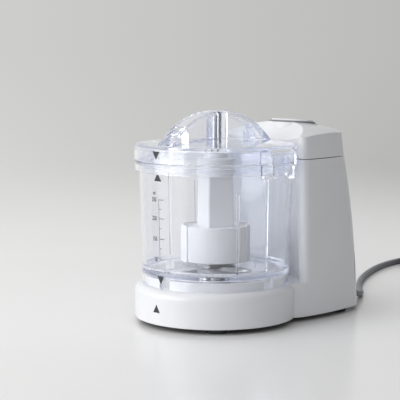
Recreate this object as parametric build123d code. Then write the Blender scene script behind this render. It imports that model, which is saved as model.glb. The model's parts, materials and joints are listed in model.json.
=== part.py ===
"""Mini food chopper: a clear bowl on a low drive platform, with the motor in a tower behind it.

Every piece is built round the bowl's axis at X = Y = 0 and moved once, at export, so that
the middle of the appliance without its lead stands on the origin. -Y is the front, where
the bowl's marks are, +Y is the tower's side and +Z is up. Sizes are in millimetres.
"""
from build123d import *
from math import asin, atan2, cos, degrees, pi, radians, sin, sqrt, tan
import os

# Feet, drive platform and housing wall
FOOT_HEIGHT = 3.5
FOOT_RADIUS = 7.5
FOOT_PEG_RADIUS = 2.5
FRONT_FOOT_REACH = 44.0
REAR_FOOT_X = 40.5
REAR_FOOT_Y = 82.0
PLATFORM_RADIUS = 55.5
PLATFORM_TOP = 27.0
PLATFORM_EDGE_FILLET = 5.5
WALL = 2.5
COVER_THICKNESS = 2.2
COVER_GAP = 0.25
BOWL_GAP = 0.3

# Collar that centres the bowl, and the boss that carries the spindle
COLLAR_RADIUS = 48.2
COLLAR_WALL = 2.2
COLLAR_HEIGHT = 6.2
COLLAR_NOTCHES = 4
COLLAR_NOTCH_WIDTH = 9.0
BOSS_RADIUS = 11.0
BOSS_TOP = 34.2
BOSS_BOTTOM = 19.0
BOSS_RIBS = 8
BOSS_RIB_REACH = 42.0
BOSS_RIB_THICKNESS = 1.8

# Pillars under the motor, and the cover's screws with their pillars and webs
MOTOR_PILLARS = [(-22.0, 69.5), (22.0, 94.5), (0.0, 97.5)]
MOTOR_PILLAR_RADIUS = 3.5
SCREW_RADIUS = 1.5
SCREW_HEAD_RADIUS = 2.8
SCREW_HEAD_HEIGHT = 1.6
SCREW_LENGTH = 12.0
SCREW_PILLAR_RADIUS = 4.0
SCREW_REACH = 44.5
SCREW_WEB = 7.0
TOWER_SCREW_X = 44.0
TOWER_SCREW_Y = 62.0

# Tower, as a bowed rectangle with round corners that draws in towards its top
TOWER_CENTRE_Y = 62.0
TOWER_HALF_WIDTH = 52.6
TOWER_HALF_DEPTH = 49.0
TOWER_SIDE_BOW = 5.0
TOWER_CORNER_RADIUS = 25.0
TOWER_MID_HEIGHT = 36.0
TOWER_MID_INSET = 1.6
TOWER_UPPER_HEIGHT = 80.0
TOWER_UPPER_INSET = 5.3
SEAM_HEIGHT = 110.5
SEAM_INSET = 9.4
CROWN_EDGE_INSET = 11.2
CROWN_EDGE_HEIGHT = 128.0
CROWN_TOP = 134.5
CROWN_RADIUS = 126.0
CROWN_CENTRE_Y = 69.0
BAY_RADIUS = 57.5
FACET_AXIS_Y = 12.0
FACET_FOOT_HEIGHT = 122.0
CAP_LIP_DEPTH = 4.5
CAP_LIP_WALL = 1.6
FIT_GAP = 0.2

# Bowl
BOWL_FOOT_RADIUS = 50.5
BOWL_RIM_RADIUS = 52.5
BOWL_WALL = 2.2
BOWL_FLOOR_BOTTOM = 34.9
BOWL_FLOOR_THICKNESS = 2.0
BOWL_BAND_BOTTOM = 104.0
BOWL_TOP = 111.0
BOWL_BAND_RADIUS = 55.0
BOWL_BAND_WALL = 1.4
BOWL_FLANGE = 1.8
POST_INNER_RADIUS = 7.2
POST_WALL = 2.0
POST_TOP = 79.0
BOWL_RIB_WIDTH = 1.6
BOWL_RIB_DEPTH = 1.1
BOWL_RIB_TOP = 92.0
BOWL_RIB_TURNS = (-119.0, 61.0)

# Latch lugs on both sides of the lid and of the bowl's rim
LUG_FRONT_Y = -14.5
LUG_BACK_Y = 9.0
LUG_REACH = 65.0
LUG_FIN = 1.8
LUG_TOP = 121.0
LUG_CORNER = 7.0
BOWL_LUG_BOTTOM = 102.0
BOWL_LUG_REACH = 64.0

# Lid, its grip and its bearing pin
LID_RADIUS = 55.5
LID_WALL = 2.0
LID_GAP = 0.3
LID_SHOULDER = 122.0
LID_SHOULDER_RADIUS = 3.5
LID_CENTRE_HEIGHT = 126.0
LID_SPIGOT_BOTTOM = 106.0
SPIGOT_GAP = 0.5
GRIP_HALF_WIDTH = 7.6
GRIP_HALF_LENGTH = 48.5
GRIP_APEX = 144.2
GRIP_FOOT_HEIGHT = 123.0
GRIP_CREST_FILLET = 1.2
GRIP_CAVITY_HALF_LENGTH = 33.0
GRIP_CAVITY_APEX = 142.9
GRIP_CAVITY_FOOT = 134.0
GRIP_SIDE_WALL = 2.0
PIN_RADIUS = 2.0
PIN_TOP = 142.4
PIN_BOTTOM = 111.8
PIN_BOSS_RADIUS = 7.4
PIN_BOSS_BOTTOM = 118.5
RUN_GAP = 0.05

# Blade carrier
HUB_CAP_RADIUS = 7.75
HUB_CAP_TOP = 117.0
HUB_SHOULDER = 111.6
HUB_NECK_HEIGHT = 101.0
HUB_RADIUS = 12.9
HUB_SQUARE_TOP = 18.8
HUB_SQUARE_FOOT = 20.4
HUB_BORE_GAP = 0.4
HUB_TURN = 23.0
CUP_RADIUS = 23.8
CUP_STEP = 0.7
CUP_WALL = 1.8
CUP_TOP = 66.2
CUP_RECESS = 1.2
CUP_WEB = 1.8
CUP_BOTTOM = 42.0
CUP_STEP_ARC = 62.0
HUB_FOOT = 38.2
BLADE_THICKNESS = 1.2
BLADE_ROOT_RADIUS = 9.8
BLADE_TIP_RADIUS = 43.0
BLADE_HEIGHT = 39.4
BLADE_STEP = 1.3
BLADE_TURN = -42.0
BLADE_ROOT_WIDTH = 13.0
BLADE_SWEEP = 30.0
BLADE_BEVEL = 0.9

# Drive line
SPINDLE_RADIUS = 4.0
SPINDLE_BOTTOM = 7.2
SPINDLE_TOP = 92.0
TIP_FLATS = 11.0
TIP_BOTTOM = 80.5
TIP_TOP = 97.0
TIP_GAP = 0.2
BUSH_RADIUS = 7.0
BUSH_LENGTH = 6.0
PRESS_GAP = 0.02
MOTOR_Y = 82.0
PULLEY_BOTTOM = 9.0
PULLEY_WIDTH = 8.4
DRIVEN_RADIUS = 30.0
MOTOR_PULLEY_RADIUS = 7.5
GROOVES = 3
GROOVE_DEPTH = 1.2
BELT_GAP = 0.12
BELT_BACK = 1.4

# Motor
SHAFT_RADIUS = 2.5
SHAFT_BOTTOM = 8.2
SHAFT_TOP = 98.0
STATOR_HALF_X = 27.0
STATOR_HALF_Y = 19.5
STATOR_BOTTOM = 42.0
STATOR_TOP = 64.0
STATOR_CORNER = 8.0
ARMATURE_RADIUS = 15.0
AIR_GAP = 0.5
ARMATURE_SLOTS = 12
COIL_OVERHANG = 6.0
COMMUTATOR_RADIUS = 8.0
COMMUTATOR_BOTTOM = 74.0
COMMUTATOR_TOP = 84.0
FAN_RADIUS = 19.5
FAN_BOTTOM = 29.5
FAN_HEIGHT = 5.5
FAN_BLADES = 10
BRACKET_THICKNESS = 3.0
LOWER_BRACKET = 20.0
UPPER_BRACKET = 88.0
BEARING_RADIUS = 8.0
BEARING_LENGTH = 5.0
BOLT_X = 21.5
BOLT_Y = 13.5
BOLT_RADIUS = 2.0

# Pulse button, interlock and switches
BUTTON_Y = 80.0
BUTTON_HALF_X = 17.5
BUTTON_HALF_Y = 11.0
BUTTON_RISE = 1.3
BUTTON_TRAVEL = 3.0
BUTTON_GUIDE_DEPTH = 7.0
BEZEL_WIDTH = 1.6
BEZEL_RISE = 0.5
BEZEL_DEPTH = 2.0
GUIDE_WALL = 3.4
BUTTON_SKIN = 2.0
STEM_RADIUS = 1.8
PLUNGER_RADIUS = 3.0
PLUNGER_HEIGHT = 115.5
PLUNGER_TRAVEL = 2.0
PLUNGER_STEM_RADIUS = 1.5
PLUNGER_FLANGE_RADIUS = 4.6
SHELF_THICKNESS = 2.0
SHELF_DROP = -15.0
SHELF_HALF_X = 24.5
SHELF_FRONT = 68.0
SHELF_HALF_Y = 12.0
SPRING_TURNS = 5
SPRING_WIRE = 0.5
SPRING_RADIUS = 3.6

# Lead
CORD_RADIUS = 2.3
EXIT_X = 31.0
EXIT_Y = 107.3
EXIT_HEIGHT = 8.6
EXIT_TURN = 16.0
EXIT_DROP = 12.0
GUARD_LENGTH = 15.0
GUARD_ROOT_RADIUS = 3.7
GUARD_END_RADIUS = 2.8
AHEAD = 14.6
GUARD_NECK_RADIUS = 3.4
GUARD_FLANGE_RADIUS = 4.2
GUARD_NECK_END = 4.0
INNER_LEAD = 17.0
COIL_CENTRE = (-22.0, 300.0)
COIL_HALF_TURNS = 4
COIL_SPACE = 1.35
COIL_MID_RADIUS = 25.3
TIE_GAP = 0.3
TIE_WIDTH = 8.0
PLUG_LEAD = 16.0
PLUG_HALF_WIDTH = 17.5
PLUG_HALF_HEIGHT = CORD_RADIUS * 3 + COIL_SPACE
PLUG_LENGTH = 34.0
PLUG_NOSE = 12.0
PLUG_PIN_RADIUS = 2.0
PLUG_PIN_LENGTH = 19.0
PLUG_PIN_SPACING = 18.6

ROTOR_CENTRE = Pos(0, MOTOR_Y, 0)


def turned(*profile):
    """Solid of revolution about Z from (radius, height) corners."""
    outline = Polyline([(r, 0, z) for r, z in profile], close=True)
    return revolve(make_face(outline), Axis.Z, 360)


def ring(outer, inner, bottom, top):
    """Plain tube standing on the plane Z = bottom."""
    return turned((inner, bottom), (outer, bottom), (outer, top), (inner, top))


def rod(radius, bottom, top):
    """Plain upright cylinder."""
    return Pos(0, 0, bottom) * Cylinder(radius, top - bottom, align=(Align.CENTER, Align.CENTER, Align.MIN))


def block(x, y, z):
    """Box from three (low, high) pairs."""
    size = Box(x[1] - x[0], y[1] - y[0], z[1] - z[0], align=(Align.MIN, Align.MIN, Align.MIN))
    return Pos(x[0], y[0], z[0]) * size


def button_frame():
    """Frame on the crown at the button's middle, with Z along the crown's own slope."""
    tilt = degrees(asin((BUTTON_Y - CROWN_CENTRE_Y) / CROWN_RADIUS))
    return Pos(0, CROWN_CENTRE_Y, CROWN_TOP - CROWN_RADIUS) * Rot(-tilt, 0, 0) * Pos(0, 0, CROWN_RADIUS)


def oval(half_x, half_y, bottom, top):
    """Elliptical cylinder between two heights over the crown, at the button's place."""
    return button_frame() * Pos(0, 0, bottom) * extrude(Ellipse(half_x, half_y), top - bottom)


def around(shape, count, turn=0.0):
    """Copies of a shape, evenly spaced about Z."""
    return [Rot(0, 0, turn + 360.0 / count * i) * shape for i in range(count)]


def tower_section(inset, height):
    """Plan of the tower at one height: four bowed sides and four round corners."""
    a = TOWER_HALF_WIDTH - inset
    b = TOWER_HALF_DEPTH - inset
    ca = a - TOWER_SIDE_BOW
    cb = b - TOWER_SIDE_BOW
    sides = [
        ThreePointArc((-ca, -cb), (0, -b), (ca, -cb)),
        ThreePointArc((ca, -cb), (a, 0), (ca, cb)),
        ThreePointArc((ca, cb), (0, b), (-ca, cb)),
        ThreePointArc((-ca, cb), (-a, 0), (-ca, -cb)),
    ]
    face = make_face(sides)
    face = fillet(face.vertices(), TOWER_CORNER_RADIUS - inset)
    return Pos(0, TOWER_CENTRE_Y, height) * face


def tower_body(inset):
    """Tower below the seam, drawn in by an extra inset on every side."""
    stations = [
        (0.0, FOOT_HEIGHT),
        (TOWER_MID_INSET, TOWER_MID_HEIGHT),
        (TOWER_UPPER_INSET, TOWER_UPPER_HEIGHT),
        (SEAM_INSET, SEAM_HEIGHT),
    ]
    return loft([tower_section(inset + drawn, height) for drawn, height in stations])


def crown_ball(shrink):
    """Large ball whose top is the crown's gently domed face."""
    return Pos(0, CROWN_CENTRE_Y, CROWN_TOP - CROWN_RADIUS) * Sphere(CROWN_RADIUS - shrink)


def facet_cone(grow):
    """Cone that opens upward at 45 degrees and bevels the crown towards the bowl."""
    foot = BAY_RADIUS - FACET_AXIS_Y + grow
    rise = 2.0 * (CROWN_TOP - FACET_FOOT_HEIGHT)
    cone = turned((0, FACET_FOOT_HEIGHT), (foot, FACET_FOOT_HEIGHT), (foot + rise, FACET_FOOT_HEIGHT + rise),
                  (0, FACET_FOOT_HEIGHT + rise))
    return Pos(0, FACET_AXIS_Y, 0) * cone


def make_base_housing():
    """White moulding: hollow platform and tower in one, with collar, spindle boss and ribs."""
    plate_under = PLATFORM_TOP - WALL
    disc = rod(PLATFORM_RADIUS, FOOT_HEIGHT, PLATFORM_TOP)
    disc = fillet(disc.edges().group_by(Axis.Z)[-1], PLATFORM_EDGE_FILLET)
    bay = rod(BAY_RADIUS, PLATFORM_TOP, CROWN_TOP + 10)
    outer = disc + (tower_body(0.0) - bay)
    disc_room = rod(PLATFORM_RADIUS - WALL, 0, plate_under)
    disc_room = fillet(disc_room.edges().group_by(Axis.Z)[-1], PLATFORM_EDGE_FILLET - WALL)
    open_foot = Pos(0, 0, -FOOT_HEIGHT) * extrude(tower_section(WALL, FOOT_HEIGHT), FOOT_HEIGHT)
    tower_room = tower_body(WALL) + open_foot
    tower_room = tower_room - rod(BAY_RADIUS + WALL, plate_under, CROWN_TOP)
    open_top = extrude(tower_section(WALL + SEAM_INSET, SEAM_HEIGHT), WALL)
    open_top = open_top - rod(BAY_RADIUS + WALL, 0, CROWN_TOP)
    shell = outer - disc_room - tower_room - open_top
    collar = ring(COLLAR_RADIUS, COLLAR_RADIUS - COLLAR_WALL,
                  PLATFORM_TOP - WALL, PLATFORM_TOP + COLLAR_HEIGHT)
    notch = block((-COLLAR_NOTCH_WIDTH / 2, COLLAR_NOTCH_WIDTH / 2), (COLLAR_RADIUS - 5, COLLAR_RADIUS + 3),
                  (PLATFORM_TOP, PLATFORM_TOP + COLLAR_HEIGHT + 1))
    collar = collar - around(notch, COLLAR_NOTCHES)
    boss = rod(BOSS_RADIUS, BOSS_BOTTOM, BOSS_TOP)
    rib = block((0, BOSS_RIB_REACH), (-BOSS_RIB_THICKNESS / 2, BOSS_RIB_THICKNESS / 2),
                (BOSS_BOTTOM, plate_under + 1))
    shell = shell + collar + boss + around(rib, BOSS_RIBS, 22.5)
    for x, y, _ in cover_screw_places():
        pillar = Pos(x, y, 0) * rod(SCREW_PILLAR_RADIUS, FOOT_HEIGHT + COVER_THICKNESS + COVER_GAP,
                                    plate_under + 1)
        shell = shell + pillar
    for x, y, free in cover_screw_places():
        if free:
            side = 1 if x > 0 else -1
            web = block(tuple(sorted((x, x + side * SCREW_WEB))), (y - 1.2, y + 1.2),
                        (FOOT_HEIGHT + COVER_THICKNESS + COVER_GAP, plate_under + 1))
            shell = shell + web
        shell = shell - Pos(x, y, 0) * rod(SCREW_RADIUS + PRESS_GAP, 0, FOOT_HEIGHT + SCREW_LENGTH)
    shell = shell - rod(BUSH_RADIUS + PRESS_GAP, BOSS_BOTTOM - 1, BOSS_TOP + 1)
    shell = shell - guard_seat(PRESS_GAP)
    return shell


def cover_screw_places():
    """(x, y, needs a web to the tower's wall) of the five screws that hold the bottom cover."""
    front = [(SCREW_REACH * sin(radians(a)), -SCREW_REACH * cos(radians(a)), False) for a in (0, 82, -82)]
    return front + [(TOWER_SCREW_X, TOWER_SCREW_Y, True), (-TOWER_SCREW_X, TOWER_SCREW_Y, True)]


def foot_places():
    """Plan positions of the four feet."""
    spread = FRONT_FOOT_REACH * sin(radians(45))
    return [(spread, -spread), (-spread, -spread), (REAR_FOOT_X, REAR_FOOT_Y), (-REAR_FOOT_X, REAR_FOOT_Y)]


def exit_frame():
    """Frame at the lead's exit whose Z axis points out along the guard."""
    return Pos(EXIT_X, EXIT_Y, EXIT_HEIGHT) * Rot(0, 0, EXIT_TURN) * Rot(-90 - EXIT_DROP, 0, 0)


def guard_seat(grow):
    """Straight hole through the tower's wall that holds the cord guard's neck."""
    return exit_frame() * rod(GUARD_NECK_RADIUS + grow, -14.0, 6.0)


def make_bottom_cover():
    """Dark plate that closes the platform and tower from below, with slots and motor pillars."""
    low = FOOT_HEIGHT
    inset = WALL + COVER_GAP
    plate = rod(PLATFORM_RADIUS - inset, low, low + COVER_THICKNESS)
    plate = plate + extrude(tower_section(inset, low), COVER_THICKNESS)
    slot = block((-1.5, 1.5), (-9, 9), (low - 1, low + COVER_THICKNESS + 1))
    slots = [Pos(6.5 * i, MOTOR_Y, 0) * slot for i in range(-2, 3)]
    plate = plate - slots
    for x, y in MOTOR_PILLARS:
        plate = plate + Pos(x, y, 0) * rod(MOTOR_PILLAR_RADIUS, low + 1, LOWER_BRACKET)
    for x, y, _ in cover_screw_places():
        plate = plate - Pos(x, y, 0) * rod(SCREW_RADIUS + FIT_GAP, 0, low + 10)
        plate = plate - Pos(x, y, 0) * rod(SCREW_HEAD_RADIUS + FIT_GAP, 0, low + SCREW_HEAD_HEIGHT - 0.6)
    for x, y in foot_places():
        plate = plate - Pos(x, y, 0) * rod(FOOT_PEG_RADIUS + PRESS_GAP, 0, low + 10)
    return plate - guard_seat(1.0)


def make_rubber_feet():
    """Four feet, each with a peg that is pushed into the bottom cover."""
    feet = []
    for x, y in foot_places():
        pad = turned((0, 0), (FOOT_RADIUS - 1, 0), (FOOT_RADIUS, 1), (FOOT_RADIUS, FOOT_HEIGHT),
                     (FOOT_PEG_RADIUS, FOOT_HEIGHT),
                     (FOOT_PEG_RADIUS, FOOT_HEIGHT + COVER_THICKNESS), (0, FOOT_HEIGHT + COVER_THICKNESS))
        feet.append(Pos(x, y, 0) * pad)
    return Compound(feet)


def make_cover_screws():
    """Five pan-head screws in the bottom cover."""
    seat = FOOT_HEIGHT + SCREW_HEAD_HEIGHT - 0.6
    screw = turned((0, seat - SCREW_HEAD_HEIGHT), (SCREW_HEAD_RADIUS, seat - SCREW_HEAD_HEIGHT),
                   (SCREW_HEAD_RADIUS, seat),
                   (SCREW_RADIUS, seat), (SCREW_RADIUS, seat + SCREW_LENGTH - 3),
                   (0, seat + SCREW_LENGTH - 2))
    return Compound([Pos(x, y, 0) * screw for x, y, _ in cover_screw_places()])


def cap_volume(shrink):
    """Solid between the seam and the crown, drawn in by shrink on every side."""
    above = CROWN_TOP + 2.0
    draft = (CROWN_EDGE_INSET - SEAM_INSET) / (CROWN_EDGE_HEIGHT - SEAM_HEIGHT)
    lower = tower_section(SEAM_INSET + shrink, SEAM_HEIGHT)
    upper = tower_section(SEAM_INSET + draft * (above - SEAM_HEIGHT) + shrink, above)
    sides = loft([lower, upper])
    body = sides & crown_ball(shrink)
    body = body - rod(BAY_RADIUS + shrink, SEAM_HEIGHT - 5, CROWN_TOP + 10)
    return body - facet_cone(shrink)


def make_tower_cap():
    """White cap: domed crown, bevel towards the bowl, button well, plunger hole and inner lip."""
    outer = cap_volume(0.0)
    cap = outer - cap_volume(WALL)
    lip_out = WALL + SEAM_INSET + FIT_GAP
    lip = extrude(tower_section(lip_out, SEAM_HEIGHT - CAP_LIP_DEPTH), CAP_LIP_DEPTH + 4)
    lip = lip - rod(BAY_RADIUS + WALL + FIT_GAP, 0, CROWN_TOP)
    room = extrude(tower_section(lip_out + CAP_LIP_WALL, SEAM_HEIGHT - CAP_LIP_DEPTH - 1), CAP_LIP_DEPTH + 6)
    room = room - rod(BAY_RADIUS + WALL + FIT_GAP + CAP_LIP_WALL, 0, CROWN_TOP)
    lip = lip - room - plunger_axis() * Cylinder(PLUNGER_FLANGE_RADIUS + 0.4, 30)
    cap = cap + lip
    hole_x = BUTTON_HALF_X + FIT_GAP
    hole_y = BUTTON_HALF_Y + FIT_GAP
    guide = oval(hole_x + GUIDE_WALL, hole_y + GUIDE_WALL, -BUTTON_GUIDE_DEPTH, 0)
    cap = cap + (guide & crown_ball(WALL / 2))
    cap = cap - oval(hole_x, hole_y, -20, 5)
    cap = cap - oval(hole_x + BEZEL_WIDTH, hole_y + BEZEL_WIDTH, -BEZEL_DEPTH, 5)
    return cap - plunger_axis() * Cylinder(PLUNGER_RADIUS + FIT_GAP, 30)


def plunger_axis():
    """Frame at the lid's rim, level with the interlock plunger, whose Z axis points to the tower."""
    return Pos(0, LID_RADIUS, PLUNGER_HEIGHT) * Rot(-90, 0, 0)


def make_button_bezel():
    """Dark oval ring round the pulse button."""
    outer = oval(BUTTON_HALF_X + BEZEL_WIDTH + 0.1, BUTTON_HALF_Y + BEZEL_WIDTH + 0.1, -BEZEL_DEPTH,
                 BEZEL_RISE)
    bezel = outer - oval(BUTTON_HALF_X + FIT_GAP, BUTTON_HALF_Y + FIT_GAP, -20, 5)
    return chamfer(bezel.faces().sort_by(Axis.Z)[-1].edges(), 0.3)


def make_pulse_button():
    """Oval push button: hollow cap with a round edge, a stop flange and a switch stem."""
    flange_top = -BUTTON_GUIDE_DEPTH - FIT_GAP
    flange_low = flange_top - 1.4
    shell = oval(BUTTON_HALF_X, BUTTON_HALF_Y, flange_low, BUTTON_RISE)
    shell = fillet(shell.faces().sort_by(Axis.Z)[-1].edges(), 1.0)
    shell = shell + oval(BUTTON_HALF_X + 2.2, BUTTON_HALF_Y + 2.2, flange_low, flange_top)
    shell = shell - oval(BUTTON_HALF_X - 1.8, BUTTON_HALF_Y - 1.8, -20, BUTTON_RISE - BUTTON_SKIN)
    stem = button_frame() * rod(STEM_RADIUS, SHELF_DROP + BUTTON_TRAVEL + 0.5, BUTTON_RISE - 1.0)
    return shell + stem


def make_button_spring():
    """Coil spring between the switch shelf and the underside of the button."""
    low = SHELF_DROP + SPRING_WIRE + 0.05
    high = BUTTON_RISE - BUTTON_SKIN - SPRING_WIRE - 0.05
    return button_frame() * Pos(0, 0, low) * coil_spring(SPRING_RADIUS, high - low)


def coil_spring(radius, length):
    """Round-wire compression spring, centre line from Z = 0 to its length."""
    path = Helix(pitch=length / SPRING_TURNS, height=length, radius=radius)
    section = Plane(origin=path @ 0, z_dir=path % 0) * RegularPolygon(SPRING_WIRE, 6)
    return sweep(section, path=path)


def make_switch_carrier():
    """Shelf hung from the cap that holds both switches."""
    across = (-SHELF_HALF_X, SHELF_HALF_X)
    along = (-SHELF_HALF_Y, SHELF_HALF_Y)
    shelf = block(across, along, (SHELF_DROP - SHELF_THICKNESS, SHELF_DROP))
    for side in (-1, 1):
        cheek = block(sorted((side * SHELF_HALF_X, side * (SHELF_HALF_X - 2.0))), along, (SHELF_DROP - 1, 0))
        shelf = shelf + cheek
    shelf = button_frame() * shelf
    shelf = shelf + block(across, (SHELF_FRONT, SHELF_FRONT + 2), (PLUNGER_HEIGHT - 9, PLUNGER_HEIGHT + 3))
    shelf = shelf & crown_ball(WALL + PRESS_GAP)
    shelf = shelf - facet_cone(WALL + FIT_GAP)
    shelf = shelf - button_frame() * rod(STEM_RADIUS + 0.4, -40, 0)
    return shelf - plunger_axis() * Cylinder(PLUNGER_STEM_RADIUS + 0.4, 60)


def make_interlock_plunger():
    """Round-nosed pin that the lid's rim holds back so that the motor can run."""
    start = LID_GAP + 0.1
    wall_back = BAY_RADIUS + WALL - LID_RADIUS
    tail = SHELF_FRONT + 2.4 - LID_RADIUS
    profile = turned((0, start), (PLUNGER_RADIUS - 1.2, start), (PLUNGER_RADIUS, start + 1.2),
                     (PLUNGER_RADIUS, wall_back + FIT_GAP),
                     (PLUNGER_FLANGE_RADIUS, wall_back + FIT_GAP),
                     (PLUNGER_FLANGE_RADIUS, wall_back + 1.5), (PLUNGER_STEM_RADIUS, wall_back + 1.5),
                     (PLUNGER_STEM_RADIUS, tail), (0, tail))
    return plunger_axis() * profile


def make_pulse_switch():
    """Small snap switch under the shelf, below the button's stem."""
    top = SHELF_DROP - SHELF_THICKNESS
    body = block((-10, 10), (-1.0, 5.4), (top - 10, top))
    knob = rod(STEM_RADIUS - 0.4, top, top + 1.4)
    return button_frame() * (body + knob)


def make_interlock_switch():
    """Small snap switch behind the shelf's front wall."""
    face = SHELF_FRONT + 2.0 + PLUNGER_TRAVEL + 0.6
    body = block((-10, 10), (face, face + 4.0), (PLUNGER_HEIGHT - 9, PLUNGER_HEIGHT + 0.8))
    ears = block((-9, -6), (SHELF_FRONT + 2.0, face), (PLUNGER_HEIGHT - 8, PLUNGER_HEIGHT - 3))
    return body + ears + mirror(ears, Plane.YZ)


def make_upper_bush():
    """Sintered bush at the top of the spindle boss."""
    return ring(BUSH_RADIUS, SPINDLE_RADIUS + RUN_GAP, BOSS_TOP - 1.6 - BUSH_LENGTH, BOSS_TOP - 1.6)


def make_lower_bush():
    """Sintered bush at the foot of the spindle boss."""
    return ring(BUSH_RADIUS, SPINDLE_RADIUS + RUN_GAP, BOSS_BOTTOM, BOSS_BOTTOM + BUSH_LENGTH)


def make_spindle_seal():
    """Rubber lip seal over the upper bush."""
    low = BOSS_TOP - 1.6
    return turned((SPINDLE_RADIUS + 0.3, low), (BUSH_RADIUS, low), (BUSH_RADIUS, BOSS_TOP),
                  (SPINDLE_RADIUS + 1.2, BOSS_TOP),
                  (SPINDLE_RADIUS + 0.3, BOSS_TOP - 0.6))


def grooved_rim(radius, bottom, width, core):
    """(radius, height) corners of a pulley rim with V grooves, from the lower core corner up."""
    pitch = width / (GROOVES + 1)
    corners = [(core, bottom), (radius, bottom)]
    for i in range(GROOVES):
        mid = bottom + pitch * (i + 1)
        corners += [(radius, mid - 0.42 * pitch), (radius - GROOVE_DEPTH, mid), (radius, mid + 0.42 * pitch)]
    return corners + [(radius, bottom + width), (core, bottom + width)]


def make_driven_pulley():
    """Large ribbed-belt pulley with a webbed disc, on the spindle."""
    rim = turned(*grooved_rim(DRIVEN_RADIUS, PULLEY_BOTTOM, PULLEY_WIDTH, DRIVEN_RADIUS - 3.5))
    web_low = PULLEY_BOTTOM + PULLEY_WIDTH / 2 - 1.2
    web = ring(DRIVEN_RADIUS - 2.5, 7.5, web_low, web_low + 2.4)
    hole = Pos(18, 0, 0) * rod(4.5, 0, 30)
    hub = ring(8.0, SPINDLE_RADIUS + PRESS_GAP, PULLEY_BOTTOM - 0.3, BOSS_BOTTOM - 0.5)
    return rim + (web - around(hole, 6)) + hub


def make_drive_belt():
    """Ribbed belt: inner ribs run in both pulleys' grooves, swept round arcs and tangents."""
    lean = asin((DRIVEN_RADIUS - MOTOR_PULLEY_RADIUS) / MOTOR_Y)
    big = [(DRIVEN_RADIUS * cos(lean) * s, DRIVEN_RADIUS * sin(lean)) for s in (1, -1)]
    small_y = MOTOR_Y + MOTOR_PULLEY_RADIUS * sin(lean)
    small = [(MOTOR_PULLEY_RADIUS * cos(lean) * s, small_y) for s in (1, -1)]
    path = Wire([
        ThreePointArc(big[1], (0, -DRIVEN_RADIUS), big[0]),
        Line(big[0], small[0]),
        ThreePointArc(small[0], (0, MOTOR_Y + MOTOR_PULLEY_RADIUS), small[1]),
        Line(small[1], big[1]),
    ])
    pitch = PULLEY_WIDTH / (GROOVES + 1)
    low = PULLEY_BOTTOM + 0.5 * pitch
    high = PULLEY_BOTTOM + PULLEY_WIDTH - 0.5 * pitch
    corners = [(BELT_GAP + BELT_BACK, low), (BELT_GAP, low)]
    for i in range(GROOVES):
        mid = PULLEY_BOTTOM + pitch * (i + 1)
        corners += [(BELT_GAP, mid - 0.3 * pitch), (BELT_GAP - 0.55 * GROOVE_DEPTH, mid),
                    (BELT_GAP, mid + 0.3 * pitch)]
    corners += [(BELT_GAP, high), (BELT_GAP + BELT_BACK, high)]
    start = path @ 0
    outward = Vector(start.X, start.Y, 0).normalized()
    points = [Vector(start.X, start.Y, 0) + outward * r + Vector(0, 0, z) for r, z in corners]
    section = make_face(Polyline(points, close=True))
    return sweep(section, path=path)


def make_drive_spindle():
    """Steel shaft with a clip groove at its foot."""
    shaft = rod(SPINDLE_RADIUS, SPINDLE_BOTTOM, SPINDLE_TOP)
    groove = ring(SPINDLE_RADIUS + 1, SPINDLE_RADIUS - 0.5, SPINDLE_BOTTOM + 0.6, SPINDLE_BOTTOM + 1.4)
    return shaft - groove


def make_spindle_clip():
    """Snap ring in the shaft's groove, below the pulley."""
    clip = ring(SPINDLE_RADIUS + 1.8, SPINDLE_RADIUS - 0.4, SPINDLE_BOTTOM + 0.65, SPINDLE_BOTTOM + 1.35)
    return clip - block((0, 8), (-1.2, 1.2), (0, 20))


def hexagon(flats, bottom, top):
    """Upright hexagonal prism by its width across flats."""
    return Pos(0, 0, bottom) * extrude(RegularPolygon(flats / 2 / cos(pi / 6), 6), top - bottom)


def make_drive_tip():
    """Hexagonal driver on the spindle's head that turns the blade carrier."""
    tip = hexagon(TIP_FLATS, TIP_BOTTOM, TIP_TOP)
    cone = turned((0, TIP_BOTTOM), (TIP_FLATS, TIP_BOTTOM), (TIP_FLATS, TIP_TOP - TIP_FLATS + 4.2),
                  (4.2, TIP_TOP), (0, TIP_TOP))
    return (tip & cone) - rod(SPINDLE_RADIUS + PRESS_GAP, 0, SPINDLE_TOP + 0.1)


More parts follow.
